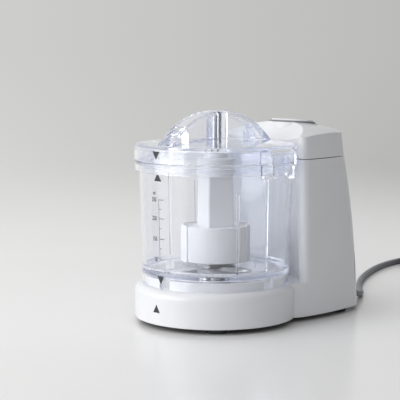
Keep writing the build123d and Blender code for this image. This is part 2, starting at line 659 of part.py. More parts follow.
def make_chopper_bowl():
    """Clear bowl: skirt, floor, hollow post, drafted wall, turned-down rim and latch lugs."""
    foot = PLATFORM_TOP + BOWL_GAP
    inner_foot = BOWL_FOOT_RADIUS - BOWL_WALL
    floor_top = BOWL_FLOOR_BOTTOM + BOWL_FLOOR_THICKNESS
    post_out = POST_INNER_RADIUS + POST_WALL
    rim_in = BOWL_RIM_RADIUS - BOWL_WALL
    lip_in = BOWL_BAND_RADIUS - BOWL_BAND_WALL
    bowl = turned(
        (COLLAR_RADIUS + BOWL_GAP, foot), (BOWL_FOOT_RADIUS, foot), (BOWL_RIM_RADIUS, BOWL_BAND_BOTTOM + 2),
        (BOWL_RIM_RADIUS, BOWL_TOP - BOWL_FLANGE), (lip_in, BOWL_TOP - BOWL_FLANGE),
        (lip_in, BOWL_BAND_BOTTOM),
        (BOWL_BAND_RADIUS, BOWL_BAND_BOTTOM), (BOWL_BAND_RADIUS, BOWL_TOP), (rim_in, BOWL_TOP),
        (inner_foot, floor_top + 3), (inner_foot - 3, floor_top), (post_out + 1.5, floor_top),
        (post_out, floor_top + 1.0),
        (post_out - 0.3, POST_TOP), (POST_INNER_RADIUS, POST_TOP), (POST_INNER_RADIUS, BOWL_FLOOR_BOTTOM),
        (COLLAR_RADIUS + BOWL_GAP, BOWL_FLOOR_BOTTOM))
    rib = block((-BOWL_RIB_WIDTH / 2, BOWL_RIB_WIDTH / 2),
                (inner_foot - BOWL_RIB_DEPTH, inner_foot + BOWL_WALL - 0.3), (floor_top, BOWL_RIB_TOP))
    bowl = bowl + [Rot(0, 0, turn) * rib for turn in BOWL_RIB_TURNS]
    for side in (0, 180):
        bowl = bowl + Rot(0, 0, side) * bowl_lug(side)
    return bowl


def lug_span(side):
    """(low, high) Y of a lug before its half turn, so that both lugs span the same Y."""
    return (LUG_FRONT_Y, LUG_BACK_Y) if side == 0 else (-LUG_BACK_Y, -LUG_FRONT_Y)


def bowl_lug(side):
    """Open box under the rim on the bowl's side: two fins, an outer wall, a floor and a snap bar."""
    low, high = lug_span(side)
    low, high = low + 1.5, high - 1.0
    body = block((0, BOWL_LUG_REACH), (low, high), (BOWL_LUG_BOTTOM, BOWL_TOP - LID_GAP))
    room = block((0, BOWL_LUG_REACH - LUG_FIN), (low + LUG_FIN, high - LUG_FIN),
                 (BOWL_LUG_BOTTOM + LUG_FIN, BOWL_TOP + 1))
    bar = block((BOWL_LUG_REACH - 6.0, BOWL_LUG_REACH - LUG_FIN), (low + 7.0, high - 6.0),
                (BOWL_LUG_BOTTOM + LUG_FIN, BOWL_LUG_BOTTOM + 4.0))
    lug = body - room + bar
    return lug - rod(BOWL_BAND_RADIUS - 0.4, 0, 200)


def lid_lug(side):
    """Latch on the lid's side: top plate that rolls over into an outer wall, on two fins."""
    low, high = lug_span(side)
    foot = BOWL_TOP + LID_GAP
    body = block((0, LUG_REACH), (low, high), (foot, LUG_TOP))
    crest = body.edges().filter_by(Axis.Y).sort_by(lambda e: e.center().X + e.center().Z)[-1]
    body = fillet(crest, LUG_CORNER)
    room = block((0, LUG_REACH - LUG_FIN), (low + LUG_FIN, high - LUG_FIN), (foot - 1, LUG_TOP - LUG_FIN))
    crest = room.edges().filter_by(Axis.Y).sort_by(lambda e: e.center().X + e.center().Z)[-1]
    room = fillet(crest, LUG_CORNER - LUG_FIN)
    return body - room - rod(LID_RADIUS - 0.5, 0, 200)


def arc_slab(half_length, apex, foot, half_width, floor):
    """Bar along Y whose top is an arc through apex, ending at height foot over a flat floor."""
    top = ThreePointArc((0, -half_length, foot), (0, 0, apex), (0, half_length, foot))
    base = Polyline((0, half_length, foot), (0, half_length, floor), (0, -half_length, floor),
                    (0, -half_length, foot))
    return Pos(-half_width, 0, 0) * extrude(make_face([top, *base.edges()]), 2 * half_width, dir=(1, 0, 0))


def make_lid():
    """Clear lid: rim, spigot, low conical top, hollow arched grip with a pin boss, latch lugs."""
    foot = BOWL_TOP + LID_GAP
    spigot = BOWL_RIM_RADIUS - BOWL_WALL - SPIGOT_GAP
    under = LID_SHOULDER - LID_WALL
    lean = (LID_CENTRE_HEIGHT - LID_SHOULDER) / LID_RADIUS
    plate = turned(
        (LID_RADIUS - LID_WALL, foot), (LID_RADIUS, foot), (LID_RADIUS, LID_SHOULDER),
        (0, LID_CENTRE_HEIGHT),
        (0, LID_CENTRE_HEIGHT - LID_WALL), (spigot - LID_WALL, under + lean * (LID_RADIUS - spigot)),
        (spigot - LID_WALL - 0.4, LID_SPIGOT_BOTTOM), (spigot - 0.8, LID_SPIGOT_BOTTOM),
        (spigot, LID_SPIGOT_BOTTOM + 3),
        (spigot, under), (LID_RADIUS - LID_WALL, under))
    rim = [e for e in plate.edges() if abs(e.center().Z - LID_SHOULDER) < 0.01]
    plate = fillet(rim, LID_SHOULDER_RADIUS)
    grip = arc_slab(GRIP_HALF_LENGTH, GRIP_APEX, GRIP_FOOT_HEIGHT, GRIP_HALF_WIDTH, LID_SHOULDER - 1.0)
    crest = [e for e in grip.edges()
             if e.center().Z > GRIP_APEX - 12 and abs(e.center().X) > GRIP_HALF_WIDTH - 0.1]
    grip = fillet(crest, GRIP_CREST_FILLET)
    lid = plate + (grip & rod(LID_RADIUS - 4.0, 0, 200))
    cavity = arc_slab(GRIP_CAVITY_HALF_LENGTH, GRIP_CAVITY_APEX, GRIP_CAVITY_FOOT,
                      GRIP_HALF_WIDTH - GRIP_SIDE_WALL, BOWL_TOP)
    corners = cavity.edges().filter_by(Axis.X).group_by(Axis.Z)[-1]
    cavity = fillet(corners, 2.5)
    lid = lid - (cavity & rod(spigot - LID_WALL - 2, 0, 200))
    boss = rod(PIN_BOSS_RADIUS, PIN_BOSS_BOTTOM, GRIP_CAVITY_APEX + 0.4)
    lid = lid + boss - rod(PIN_RADIUS + PRESS_GAP, 0, PIN_TOP + 0.05)
    for side in (0, 180):
        lid = lid + Rot(0, 0, side) * lid_lug(side)
    return lid


def make_lid_pin():
    """Steel pin in the lid that centres the top of the blade carrier."""
    pin = rod(PIN_RADIUS, PIN_BOTTOM, PIN_TOP)
    return chamfer(pin.edges().group_by(Axis.Z)[0], 0.6)


def make_blade_hub():
    """White carrier: round neck and cap, square shank, skirted drum at its foot, hexagonal socket."""
    shank_low = extrude(Pos(0, 0, HUB_FOOT) * Rectangle(HUB_SQUARE_FOOT, HUB_SQUARE_FOOT),
                        HUB_NECK_HEIGHT - HUB_FOOT + 1,
                        taper=degrees(atan2(HUB_SQUARE_FOOT - HUB_SQUARE_TOP,
                                            2 * (HUB_NECK_HEIGHT - HUB_FOOT))))
    shank = shank_low & rod(HUB_RADIUS + 0.3, 0, HUB_NECK_HEIGHT)
    neck = rod(HUB_RADIUS, HUB_NECK_HEIGHT, HUB_SHOULDER)
    neck = fillet(neck.edges().group_by(Axis.Z)[-1], 0.8)
    cap = rod(HUB_CAP_RADIUS, HUB_SHOULDER - 1, HUB_CAP_TOP)
    cap = chamfer(cap.edges().group_by(Axis.Z)[-1], 0.6)
    root = rod(BLADE_ROOT_RADIUS + 2.4, HUB_FOOT, CUP_BOTTOM + CUP_WALL)
    hub = Rot(0, 0, HUB_TURN - 45) * shank + neck + cap + root + make_cup()
    bore = POST_INNER_RADIUS + POST_WALL + HUB_BORE_GAP
    hub = hub - rod(bore, 0, POST_TOP + 0.5)
    hub = hub - turned((0, HUB_FOOT - 1), (bore + 1.6, HUB_FOOT - 1), (bore + 1.6, HUB_FOOT + 0.8),
                       (bore, HUB_FOOT + 2.4), (0, HUB_FOOT + 2.4))
    hub = hub - hexagon(TIP_FLATS + 2 * TIP_GAP, POST_TOP, TIP_TOP + 0.6)
    hub = hub - rod(PIN_RADIUS + RUN_GAP, PIN_BOTTOM - 0.5, HUB_CAP_TOP + 1)
    return hub - make_lower_blade() - make_upper_blade()


def make_cup():
    """Drum: round skirt under a web just below its rim, thicker over the two sectors above the blades."""
    outside = CUP_RADIUS - CUP_STEP
    inside = outside - CUP_WALL
    web_top = CUP_TOP - CUP_RECESS
    wall = turned((0, web_top - CUP_WEB), (inside, web_top - CUP_WEB), (inside, CUP_BOTTOM),
                  (outside - 0.3, CUP_BOTTOM), (outside, CUP_BOTTOM + 0.3), (outside, CUP_TOP),
                  (inside, CUP_TOP), (inside, web_top), (0, web_top))
    band = Rot(0, 0, -CUP_STEP_ARC / 2) * revolve(
        make_face(Polyline([(CUP_RADIUS - CUP_STEP - 1, 0, CUP_BOTTOM + 0.5),
                            (CUP_RADIUS - 0.6, 0, CUP_BOTTOM - 0.8), (CUP_RADIUS, 0, CUP_BOTTOM),
                            (CUP_RADIUS, 0, CUP_TOP + 0.6),
                            (CUP_RADIUS - CUP_STEP - 1, 0, CUP_TOP + 0.6)], close=True)),
        Axis.Z, CUP_STEP_ARC)
    return wall + [Rot(0, 0, BLADE_TURN + 90 + half) * band for half in (0, 180)]


def blade_outline(height, offset, thickness):
    """Sickle blade along +X: straight root, curved back and cutting edge that meet at the tip."""
    tip = (BLADE_TIP_RADIUS * cos(radians(BLADE_SWEEP)), BLADE_TIP_RADIUS * sin(radians(BLADE_SWEEP)))
    half = BLADE_ROOT_WIDTH / 2
    back = ThreePointArc((BLADE_ROOT_RADIUS, half), (BLADE_TIP_RADIUS * 0.55, half + 6.5), tip)
    edge = ThreePointArc(tip, (BLADE_TIP_RADIUS * 0.80, 3.5 + offset), (BLADE_ROOT_RADIUS, -half + offset))
    root = Line((BLADE_ROOT_RADIUS, -half + offset), (BLADE_ROOT_RADIUS, half))
    return Pos(0, 0, height) * extrude(make_face([back, edge, root]), thickness)


def make_blade(height):
    """One ground steel blade: full sickle below and a narrower one above leave a stepped edge."""
    lower = blade_outline(height, 0.0, BLADE_THICKNESS / 2)
    upper = blade_outline(height + BLADE_THICKNESS / 2, BLADE_BEVEL, BLADE_THICKNESS / 2)
    return lower + upper


def make_lower_blade():
    """Blade close to the bowl's floor."""
    return Rot(0, 0, BLADE_TURN) * make_blade(BLADE_HEIGHT)


def make_upper_blade():
    """Opposite blade, a step higher."""
    return Rot(0, 0, BLADE_TURN + 180) * make_blade(BLADE_HEIGHT + BLADE_STEP)


def rounded_plate(half_x, half_y, bottom, top, corner):
    """Upright plate with round corners at the motor's axis."""
    return Pos(0, MOTOR_Y, bottom) * extrude(RectangleRounded(2 * half_x, 2 * half_y, corner), top - bottom)


def bolt_corners():
    """The two diagonal corners that the long motor bolts pass."""
    return [(BOLT_X, -BOLT_Y), (-BOLT_X, BOLT_Y)]


def make_motor_bracket(plate_low, cup_low, leg_low, leg_high):
    """Cast bracket: plate, bearing cup and four legs to the stator."""
    plate = rounded_plate(STATOR_HALF_X, STATOR_HALF_Y - 1.5, plate_low, plate_low + BRACKET_THICKNESS, 6.0)
    cup = ROTOR_CENTRE * rod(BEARING_RADIUS + 2.0, cup_low, cup_low + BEARING_LENGTH + 1.5)
    bracket = plate + cup
    for x in (-BOLT_X, BOLT_X):
        for y in (-BOLT_Y, BOLT_Y):
            bracket = bracket + Pos(x, MOTOR_Y + y, 0) * rod(4.0, leg_low, leg_high)
    for x, y in bolt_corners():
        bracket = bracket - Pos(x, MOTOR_Y + y, 0) * rod(BOLT_RADIUS + FIT_GAP, 0, 120)
    return bracket


def make_lower_bracket():
    """Bracket below the motor, standing on the bottom cover's pillars."""
    bracket = make_motor_bracket(LOWER_BRACKET, LOWER_BRACKET, LOWER_BRACKET, STATOR_BOTTOM)
    bracket = bracket - ROTOR_CENTRE * rod(BEARING_RADIUS + PRESS_GAP, LOWER_BRACKET + 1.5, 40)
    return bracket - ROTOR_CENTRE * rod(SHAFT_RADIUS + 1.0, 0, 40)


def make_upper_bracket():
    """Bracket above the motor, with the brush boxes' seats."""
    cup_low = UPPER_BRACKET + BRACKET_THICKNESS - 0.5
    bracket = make_motor_bracket(UPPER_BRACKET, cup_low, STATOR_TOP, UPPER_BRACKET + 1)
    bracket = bracket - ROTOR_CENTRE * rod(BEARING_RADIUS + PRESS_GAP, 60, cup_low + BEARING_LENGTH)
    return bracket - ROTOR_CENTRE * rod(SHAFT_RADIUS + 1.0, 60, 120)


def make_bearing(low):
    """Ball bearing drawn as one ring with shielded faces."""
    race = ring(BEARING_RADIUS, SHAFT_RADIUS + RUN_GAP, low, low + BEARING_LENGTH)
    shield = ring(BEARING_RADIUS - 1.2, SHAFT_RADIUS + 1.2,
                  low + BEARING_LENGTH - 0.4, low + BEARING_LENGTH + 1)
    return ROTOR_CENTRE * (race - shield)


def make_motor_stator():
    """Laminated stack with a round bore and two coil slots."""
    stack = rounded_plate(STATOR_HALF_X, STATOR_HALF_Y, STATOR_BOTTOM, STATOR_TOP, STATOR_CORNER)
    stack = stack - ROTOR_CENTRE * rod(ARMATURE_RADIUS + AIR_GAP, 0, 100)
    for side in (0, 180):
        stack = stack - ROTOR_CENTRE * Rot(0, 0, side) * coil_sector(0.3, STATOR_BOTTOM - 1, STATOR_TOP + 1)
    for x, y in bolt_corners():
        stack = stack - Pos(x, MOTOR_Y + y, 0) * rod(BOLT_RADIUS + FIT_GAP, 0, 120)
    return stack


def coil_sector(grow, low, high):
    """Curved block of one field coil on the +X side of the bore."""
    inner = ARMATURE_RADIUS + AIR_GAP + 1.2 - grow
    outer = inner + 4.3 + 2 * grow
    half = 38.0
    profile = make_face(Polyline([(inner, 0, low), (outer, 0, low), (outer, 0, high), (inner, 0, high)],
                                 close=True))
    return Rot(0, 0, -half) * revolve(profile, Axis.Z, 2 * half)


def make_field_coils():
    """Two field coils that stand out above and below the stack."""
    coil = coil_sector(0.0, STATOR_BOTTOM - COIL_OVERHANG + 1, STATOR_TOP + COIL_OVERHANG)
    return Compound([ROTOR_CENTRE * Rot(0, 0, side) * coil for side in (0, 180)])


def make_motor_bolts():
    """Two long bolts through both brackets and the stack."""
    top = UPPER_BRACKET + BRACKET_THICKNESS
    bolt = rod(BOLT_RADIUS, LOWER_BRACKET - 1, top)
    bolt = bolt + rod(BOLT_RADIUS + 1.6, top, top + 2.4)
    bolt = bolt + rod(BOLT_RADIUS + 1.4, LOWER_BRACKET - 2.2, LOWER_BRACKET)
    return Compound([Pos(x, MOTOR_Y + y, 0) * bolt for x, y in bolt_corners()])


def make_motor_shaft():
    """Armature shaft."""
    return ROTOR_CENTRE * rod(SHAFT_RADIUS, SHAFT_BOTTOM, SHAFT_TOP)


def make_armature_core():
    """Slotted armature stack."""
    core = ring(ARMATURE_RADIUS, SHAFT_RADIUS + PRESS_GAP, STATOR_BOTTOM, STATOR_TOP)
    slot = block((ARMATURE_RADIUS - 5, ARMATURE_RADIUS + 1), (-1.3, 1.3), (0, 100))
    return ROTOR_CENTRE * (core - around(slot, ARMATURE_SLOTS))


def make_armature_windings():
    """End turns of the armature's copper, above and below its core."""
    turns = []
    for low, high in ((STATOR_BOTTOM - COIL_OVERHANG + 1, STATOR_BOTTOM),
                      (STATOR_TOP, STATOR_TOP + COIL_OVERHANG)):
        mound = turned((SHAFT_RADIUS + 1, low), (11.0, low), (13.0, (low + high) / 2), (11.0, high),
                       (SHAFT_RADIUS + 1, high))
        turns.append(ROTOR_CENTRE * mound)
    return Compound(turns)


def make_commutator():
    """Copper commutator with cut segments."""
    body = ring(COMMUTATOR_RADIUS, SHAFT_RADIUS + PRESS_GAP, STATOR_TOP + COIL_OVERHANG + 0.3,
                COMMUTATOR_TOP)
    cut = block((COMMUTATOR_RADIUS - 0.8, COMMUTATOR_RADIUS + 1), (-0.3, 0.3),
                (COMMUTATOR_BOTTOM, COMMUTATOR_TOP + 1))
    return ROTOR_CENTRE * (body - around(cut, ARMATURE_SLOTS))


def make_carbon_brushes():
    """Two brushes that bear on the commutator."""
    mid = (COMMUTATOR_BOTTOM + COMMUTATOR_TOP) / 2
    brush = block((COMMUTATOR_RADIUS + RUN_GAP, COMMUTATOR_RADIUS + 9), (-2.5, 2.5), (mid - 3, mid + 3))
    brush = brush - rod(COMMUTATOR_RADIUS + RUN_GAP, 0, 120)
    return Compound([ROTOR_CENTRE * Rot(0, 0, side) * brush for side in (0, 180)])


def make_brush_holders():
    """Brass boxes round the brushes, fixed up to the upper bracket."""
    mid = (COMMUTATOR_BOTTOM + COMMUTATOR_TOP) / 2
    start = COMMUTATOR_RADIUS + 1.5
    box = block((start, start + 11), (-4, 4), (mid - 4.5, UPPER_BRACKET))
    box = box - block((start - 1, start + 9), (-2.5 - PRESS_GAP, 2.5 + PRESS_GAP),
                      (mid - 3 - PRESS_GAP, mid + 3 + PRESS_GAP))
    return Compound([ROTOR_CENTRE * Rot(0, 0, side) * box for side in (0, 180)])


def make_cooling_fan():
    """Radial fan below the armature."""
    disc = ring(FAN_RADIUS, SHAFT_RADIUS + PRESS_GAP, FAN_BOTTOM, FAN_BOTTOM + 1.2)
    hub = ring(6.0, SHAFT_RADIUS + PRESS_GAP, FAN_BOTTOM, FAN_BOTTOM + FAN_HEIGHT)
    vane = block((5.5, FAN_RADIUS - 0.5), (-0.6, 0.6), (FAN_BOTTOM + 0.6, FAN_BOTTOM + FAN_HEIGHT))
    return ROTOR_CENTRE * (disc + hub + around(vane, FAN_BLADES))


def make_motor_pulley():
    """Small ribbed pulley on the motor shaft."""
    return ROTOR_CENTRE * turned(*grooved_rim(MOTOR_PULLEY_RADIUS, PULLEY_BOTTOM, PULLEY_WIDTH,
                                              SHAFT_RADIUS + PRESS_GAP))


def make_cord_guard():
    """Tapered strain relief: inner flange, neck in the wall and ribbed tail round the lead."""
    ribs = []
    steps = 5
    run = GUARD_LENGTH - GUARD_NECK_END
    for i in range(steps):
        z = GUARD_NECK_END + run * i / steps
        r = GUARD_ROOT_RADIUS + (GUARD_END_RADIUS - GUARD_ROOT_RADIUS) * (i + 0.5) / steps
        ribs += [(r, z), (r, z + 0.62 * run / steps), (r - 0.6, z + 0.62 * run / steps),
                 (r - 0.6, z + run / steps)]
    corners = [
        (CORD_RADIUS + PRESS_GAP, -8.0),
        (GUARD_FLANGE_RADIUS, -8.0),
        (GUARD_FLANGE_RADIUS, -6.5),
        (GUARD_NECK_RADIUS, -6.5),
        (GUARD_NECK_RADIUS, GUARD_NECK_END),
        *ribs,
        (CORD_RADIUS + PRESS_GAP, GUARD_LENGTH),
    ]
    return exit_frame() * turned(*corners)


def on_table(x, y, height=CORD_RADIUS):
    """A point of the lead's route."""
    return Vector(x, y, height)


def route_start():
    """Where the lead leaves its guard."""
    return (exit_frame() * Pos(0, 0, GUARD_LENGTH)).position


def cord_route():
    """Hand-chosen points of the free lead, from the guard's end to the coil's first turn."""
    first = route_start()
    ahead = (exit_frame() * Pos(0, 0, GUARD_LENGTH + AHEAD)).position
    outer = coil_radii()[0]
    entry = on_table(COIL_CENTRE[0] - outer, COIL_CENTRE[1])
    return [
        first,
        ahead,
        on_table(9.2, 149.8),
        on_table(-5.8, 168.3),
        on_table(-21.0, 191.9),
        on_table(-34.5, 218.5),
        on_table(-46.0, 248.0),
        on_table(entry.X, entry.Y - 24.0),
        entry,
    ]


def corner_radii(points):
    """Radius of the arc at each corner: 0.45 of the shorter run over the tangent of half the turn."""
    radii = []
    for a, b, c in zip(points, points[1:], points[2:]):
        turn = (b - a).get_angle(c - b)
        radii.append(0.45 * min((b - a).length, (c - b).length) / tan(radians(turn / 2)))
    return radii


def tube(path):
    """Round lead along a path."""
    section = Plane(origin=path @ 0, z_dir=path % 0) * Circle(CORD_RADIUS)
    return sweep(section, path=path)


def make_power_cord():
    """Free lead on the table, swept along runs joined by tangent arcs."""
    points = cord_route()
    radii = corner_radii(points)
    path = FilletPolyline(points, radius=radii)
    cord = tube(path)
    print("power_cord radii", [round(r, 1) for r in radii])
    ratio = cord.volume / (pi * CORD_RADIUS ** 2 * path.length)
    print("power_cord length %.1f volume ratio %.4f" % (path.length, ratio))
    return cord


def coil_radii():
    """Radii of the coil's half turns, from the outermost in, half a pitch apart."""
    pitch = 2 * CORD_RADIUS + COIL_SPACE
    outer = COIL_MID_RADIUS + pitch * (COIL_HALF_TURNS - 1) / 4
    return [outer - pitch / 2 * i for i in range(COIL_HALF_TURNS)]


def coil_path():
    """Centre line of the coil: half turns inwards, a climbing half turn, and half turns outwards."""
    pitch = 2 * CORD_RADIUS + COIL_SPACE
    edges = []
    x, y = COIL_CENTRE[0] - coil_radii()[0], COIL_CENTRE[1]
    z = CORD_RADIUS
    side = 1
    for r in coil_radii():
        top = Vector(x + side * r, y + side * r, z)
        end = Vector(x + side * 2 * r, y, z)
        edges.append(ThreePointArc(Vector(x, y, z), top, end))
        x = end.X
        side = -side
    inner = coil_radii()[-1] - pitch / 4
    bulge = sqrt(inner ** 2 + pitch ** 2 / 4)
    middle = Vector(x + side * inner, y + side * bulge, z + pitch / 2)
    end = Vector(x + side * 2 * inner, y, z + pitch)
    rise = TangentArc(Vector(x, y, z), middle, tangent=(0, side, 0))
    settle = TangentArc(end, middle, tangent=(0, side, 0))
    edges.append(rise)
    edges.append(ThreePointArc(middle, settle @ 0.5, end))
    x, z, side = end.X, end.Z, -side
    for r in reversed(coil_radii()):
        top = Vector(x + side * r, y + side * r, z)
        end = Vector(x + side * 2 * r, y, z)
        edges.append(ThreePointArc(Vector(x, y, z), top, end))
        x = end.X
        side = -side
    return Wire(edges), Vector(x, y, z), side


def least_gap(path, step=2.0):
    """Least distance between the tube's surface and itself, more than a third of a turn apart."""
    count = int(path.length / step)
    points = [path @ (i / count) for i in range(count + 1)]
    apart = int(COIL_MID_RADIUS * 2 / step)
    pairs = ((points[i] - points[j]).length for i in range(0, count, 2) for j in range(i + apart, count, 2))
    return min(pairs) - 2 * CORD_RADIUS


def make_cord_coil():
    """Spare lead wound into a small flat coil of two layers."""
    path, _, _ = coil_path()
    coil = tube(path)
    print("cord_coil length %.1f volume ratio %.4f least gap %.2f" % (
        path.length, coil.volume / (pi * CORD_RADIUS ** 2 * path.length), least_gap(path)))
    return coil


def make_coil_tie():
    """Flat tie round all the strands on the coil's far side."""
    pitch = 2 * CORD_RADIUS + COIL_SPACE
    low = coil_radii()[-1] - CORD_RADIUS - TIE_GAP - pitch / 2
    high = coil_radii()[0] + CORD_RADIUS + TIE_GAP + pitch / 2
    top = 2 * CORD_RADIUS + pitch + TIE_GAP
    outer = block((-TIE_WIDTH / 2, TIE_WIDTH / 2), (low - 1, high + 1), (0, top + 1.0))
    inner = block((-TIE_WIDTH, TIE_WIDTH), (low, high), (-1, top))
    return Pos(COIL_CENTRE[0], COIL_CENTRE[1], 0) * (outer - inner)


def make_plug_lead():
    """Straight stretch of lead between the coil's last turn and the plug."""
    _, end, side = coil_path()
    return tube(Line(end, Vector(end.X, end.Y + side * PLUG_LEAD, end.Z)))


def plug_frame():
    """Frame at the plug's cord end, with Y towards its pins and Z up."""
    _, end, side = coil_path()
    return Pos(end.X, end.Y + side * PLUG_LEAD, end.Z) * Rot(0, 0, 0 if side > 0 else 180)


def make_plug_body():
    """Slim two-pin plug: flattened body that narrows to its cord nose."""
    wide = Plane.XZ.offset(-PLUG_LENGTH) * RectangleRounded(2 * PLUG_HALF_WIDTH, 2 * PLUG_HALF_HEIGHT, 5.0)
    waist = Plane.XZ.offset(-PLUG_NOSE) * RectangleRounded(22.0, 2 * PLUG_HALF_HEIGHT - 1.0, 5.0)
    nose = Plane.XZ * RectangleRounded(8.0, 8.0, 3.6)
    return plug_frame() * loft([nose, waist, wide])


def make_plug_pins():
    """Two round pins."""
    pin = Rot(-90, 0, 0) * rod(PLUG_PIN_RADIUS, PLUG_LENGTH, PLUG_LENGTH + PLUG_PIN_LENGTH)
    return Compound([plug_frame() * Pos(side * PLUG_PIN_SPACING / 2, 0, 0) * pin for side in (-1, 1)])


def make_cord_clamp():
    """Saddle that grips the lead inside the tower, on the bottom cover."""
    seat = FOOT_HEIGHT + COVER_THICKNESS
    place = (exit_frame() * Pos(0, 0, -11.0)).position
    body = block((-6.5, 6.5), (-1.8, 1.8), (seat, place.Z + CORD_RADIUS + 2.0))
    clamp = Pos(place.X, place.Y, 0) * Rot(0, 0, EXIT_TURN) * body
    return clamp - inner_lead_path(PRESS_GAP)


def inner_lead_path(grow):
    """Straight inner end of the lead, from the guard to the terminal block."""
    return exit_frame() * rod(CORD_RADIUS + grow, -INNER_LEAD, GUARD_LENGTH)


def make_inner_lead():
    """End of the lead inside the tower."""
    return inner_lead_path(0.0)


def make_terminal_block():
    """Two-way terminal block where the lead ends."""
    tip = (exit_frame() * Pos(0, 0, -INNER_LEAD)).position
    seat = FOOT_HEIGHT + COVER_THICKNESS
    body = block((tip.X - 5, tip.X + 6), (tip.Y - 9, tip.Y + 1.5), (seat, tip.Z + CORD_RADIUS + 2.5))
    return body - inner_lead_path(PRESS_GAP)


PIECES = {
    "base_housing": make_base_housing,
    "tower_cap": make_tower_cap,
    "bottom_cover": make_bottom_cover,
    "rubber_feet": make_rubber_feet,
    "cover_screws": make_cover_screws,
    "button_bezel": make_button_bezel,
    "pulse_button": make_pulse_button,
    "button_spring": make_button_spring,
    "switch_carrier": make_switch_carrier,
    "pulse_switch": make_pulse_switch,
    "interlock_plunger": make_interlock_plunger,
    "interlock_switch": make_interlock_switch,
    "upper_bush": make_upper_bush,
    "lower_bush": make_lower_bush,
    "spindle_seal": make_spindle_seal,
    "driven_pulley": make_driven_pulley,
    "drive_belt": make_drive_belt,
    "drive_spindle": make_drive_spindle,
    "spindle_clip": make_spindle_clip,
    "drive_tip": make_drive_tip,
    "lower_bracket": make_lower_bracket,
    "upper_bracket": make_upper_bracket,
    "lower_bearing": lambda: make_bearing(LOWER_BRACKET + 1.5),
    "upper_bearing": lambda: make_bearing(UPPER_BRACKET + BRACKET_THICKNESS - 0.5),
    "motor_stator": make_motor_stator,
    "field_coils": make_field_coils,
    "motor_bolts": make_motor_bolts,
    "motor_shaft": make_motor_shaft,
    "armature_core": make_armature_core,
    "armature_windings": make_armature_windings,
    "commutator": make_commutator,
    "carbon_brushes": make_carbon_brushes,
    "brush_holders": make_brush_holders,
    "cooling_fan": make_cooling_fan,
    "motor_pulley": make_motor_pulley,
    "chopper_bowl": make_chopper_bowl,
    "blade_hub": make_blade_hub,
    "lower_blade": make_lower_blade,
    "upper_blade": make_upper_blade,
    "lid": make_lid,
    "lid_pin": make_lid_pin,
    "cord_guard": make_cord_guard,
    "cord_clamp": make_cord_clamp,
    "inner_lead": make_inner_lead,
    "terminal_block": make_terminal_block,
    "power_cord": make_power_cord,
    "cord_coil": make_cord_coil,
    "coil_tie": make_coil_tie,
    "plug_lead": make_plug_lead,
    "plug_body": make_plug_body,
    "plug_pins": make_plug_pins,
}


def appliance_middle():
    """Y of the middle of the appliance, between the platform's front and the tower's back."""
    return (TOWER_CENTRE_Y + TOWER_HALF_DEPTH - PLATFORM_RADIUS) / 2


def main():
    """Build every piece and write each as its own file."""
    os.makedirs("parts", exist_ok=True)
    to_origin = Pos(0, -appliance_middle(), 0)
    for name, make in PIECES.items():
        export_step(to_origin * make(), os.path.join("parts", name + ".step"))
    print("bowl axis at y = %.3f" % -appliance_middle())


main()
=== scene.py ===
"""Mini food chopper in a plain studio: its visible surfaces, finishes, lights and camera.

Shapes are worked out in millimetres round the bowl's axis, with +Z up, -Y towards the front
and +Y towards the motor tower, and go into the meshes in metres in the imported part's frame.
"""
import json
import logging
import math
from dataclasses import dataclass, field
from enum import Enum
from typing import Callable, Iterable, Sequence

import bmesh
import bpy
import numpy as np
from bpy.types import ID, Material, Mesh, Node, NodeTree, Object, World
from mathutils import Matrix, Vector

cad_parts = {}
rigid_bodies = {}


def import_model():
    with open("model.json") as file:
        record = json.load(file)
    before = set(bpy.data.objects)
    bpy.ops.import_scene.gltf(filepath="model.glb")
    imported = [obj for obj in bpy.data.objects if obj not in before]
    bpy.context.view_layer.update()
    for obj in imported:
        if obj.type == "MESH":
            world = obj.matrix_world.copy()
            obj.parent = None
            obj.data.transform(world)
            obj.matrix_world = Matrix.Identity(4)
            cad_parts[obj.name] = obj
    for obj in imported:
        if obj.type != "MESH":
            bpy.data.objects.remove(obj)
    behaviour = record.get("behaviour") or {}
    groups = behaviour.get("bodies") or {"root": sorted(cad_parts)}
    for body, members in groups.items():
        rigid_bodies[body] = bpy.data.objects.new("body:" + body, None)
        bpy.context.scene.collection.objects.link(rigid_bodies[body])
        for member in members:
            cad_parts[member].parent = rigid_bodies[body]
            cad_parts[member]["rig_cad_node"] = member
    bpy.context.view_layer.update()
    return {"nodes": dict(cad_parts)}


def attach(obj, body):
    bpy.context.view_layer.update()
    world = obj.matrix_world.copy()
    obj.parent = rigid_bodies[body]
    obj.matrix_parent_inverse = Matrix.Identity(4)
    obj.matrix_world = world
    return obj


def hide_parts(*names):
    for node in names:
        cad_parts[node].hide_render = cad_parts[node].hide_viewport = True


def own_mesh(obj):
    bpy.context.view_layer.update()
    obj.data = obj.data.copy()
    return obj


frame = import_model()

LOG = logging.getLogger("chopper")
Array = np.ndarray
MM = 0.001
TAU = math.pi * 2.0
# The bowl's axis in the frame, and the latch lugs' span along Y and wall, in millimetres.
BOWL_Y = -27.75
LUG_SPAN = (-14.5, 9.0)
LUG_FIN = 1.8
# Steps round the large shapes, whose outlines show.
FINE = 256
# Points of a new mesh, or of a copied node, that lie this close in metres are one.
MERGE = 2e-7
COPY_MERGE = 2e-6


def to_metres(points: Array) -> Array:
    """Move points from the bowl's axis in millimetres into the part's frame in metres."""
    return (np.asarray(points, float) + np.array([0.0, BOWL_Y, 0.0])) * MM


def along_y(distance: float) -> Matrix:
    """Move by a distance in millimetres along Y."""
    return Matrix.Translation((0.0, distance * MM, 0.0))


def unit(angles: Array) -> Array:
    """Points (cos t, sin t) of the unit circle."""
    return np.stack([np.cos(angles), np.sin(angles)], axis=-1)


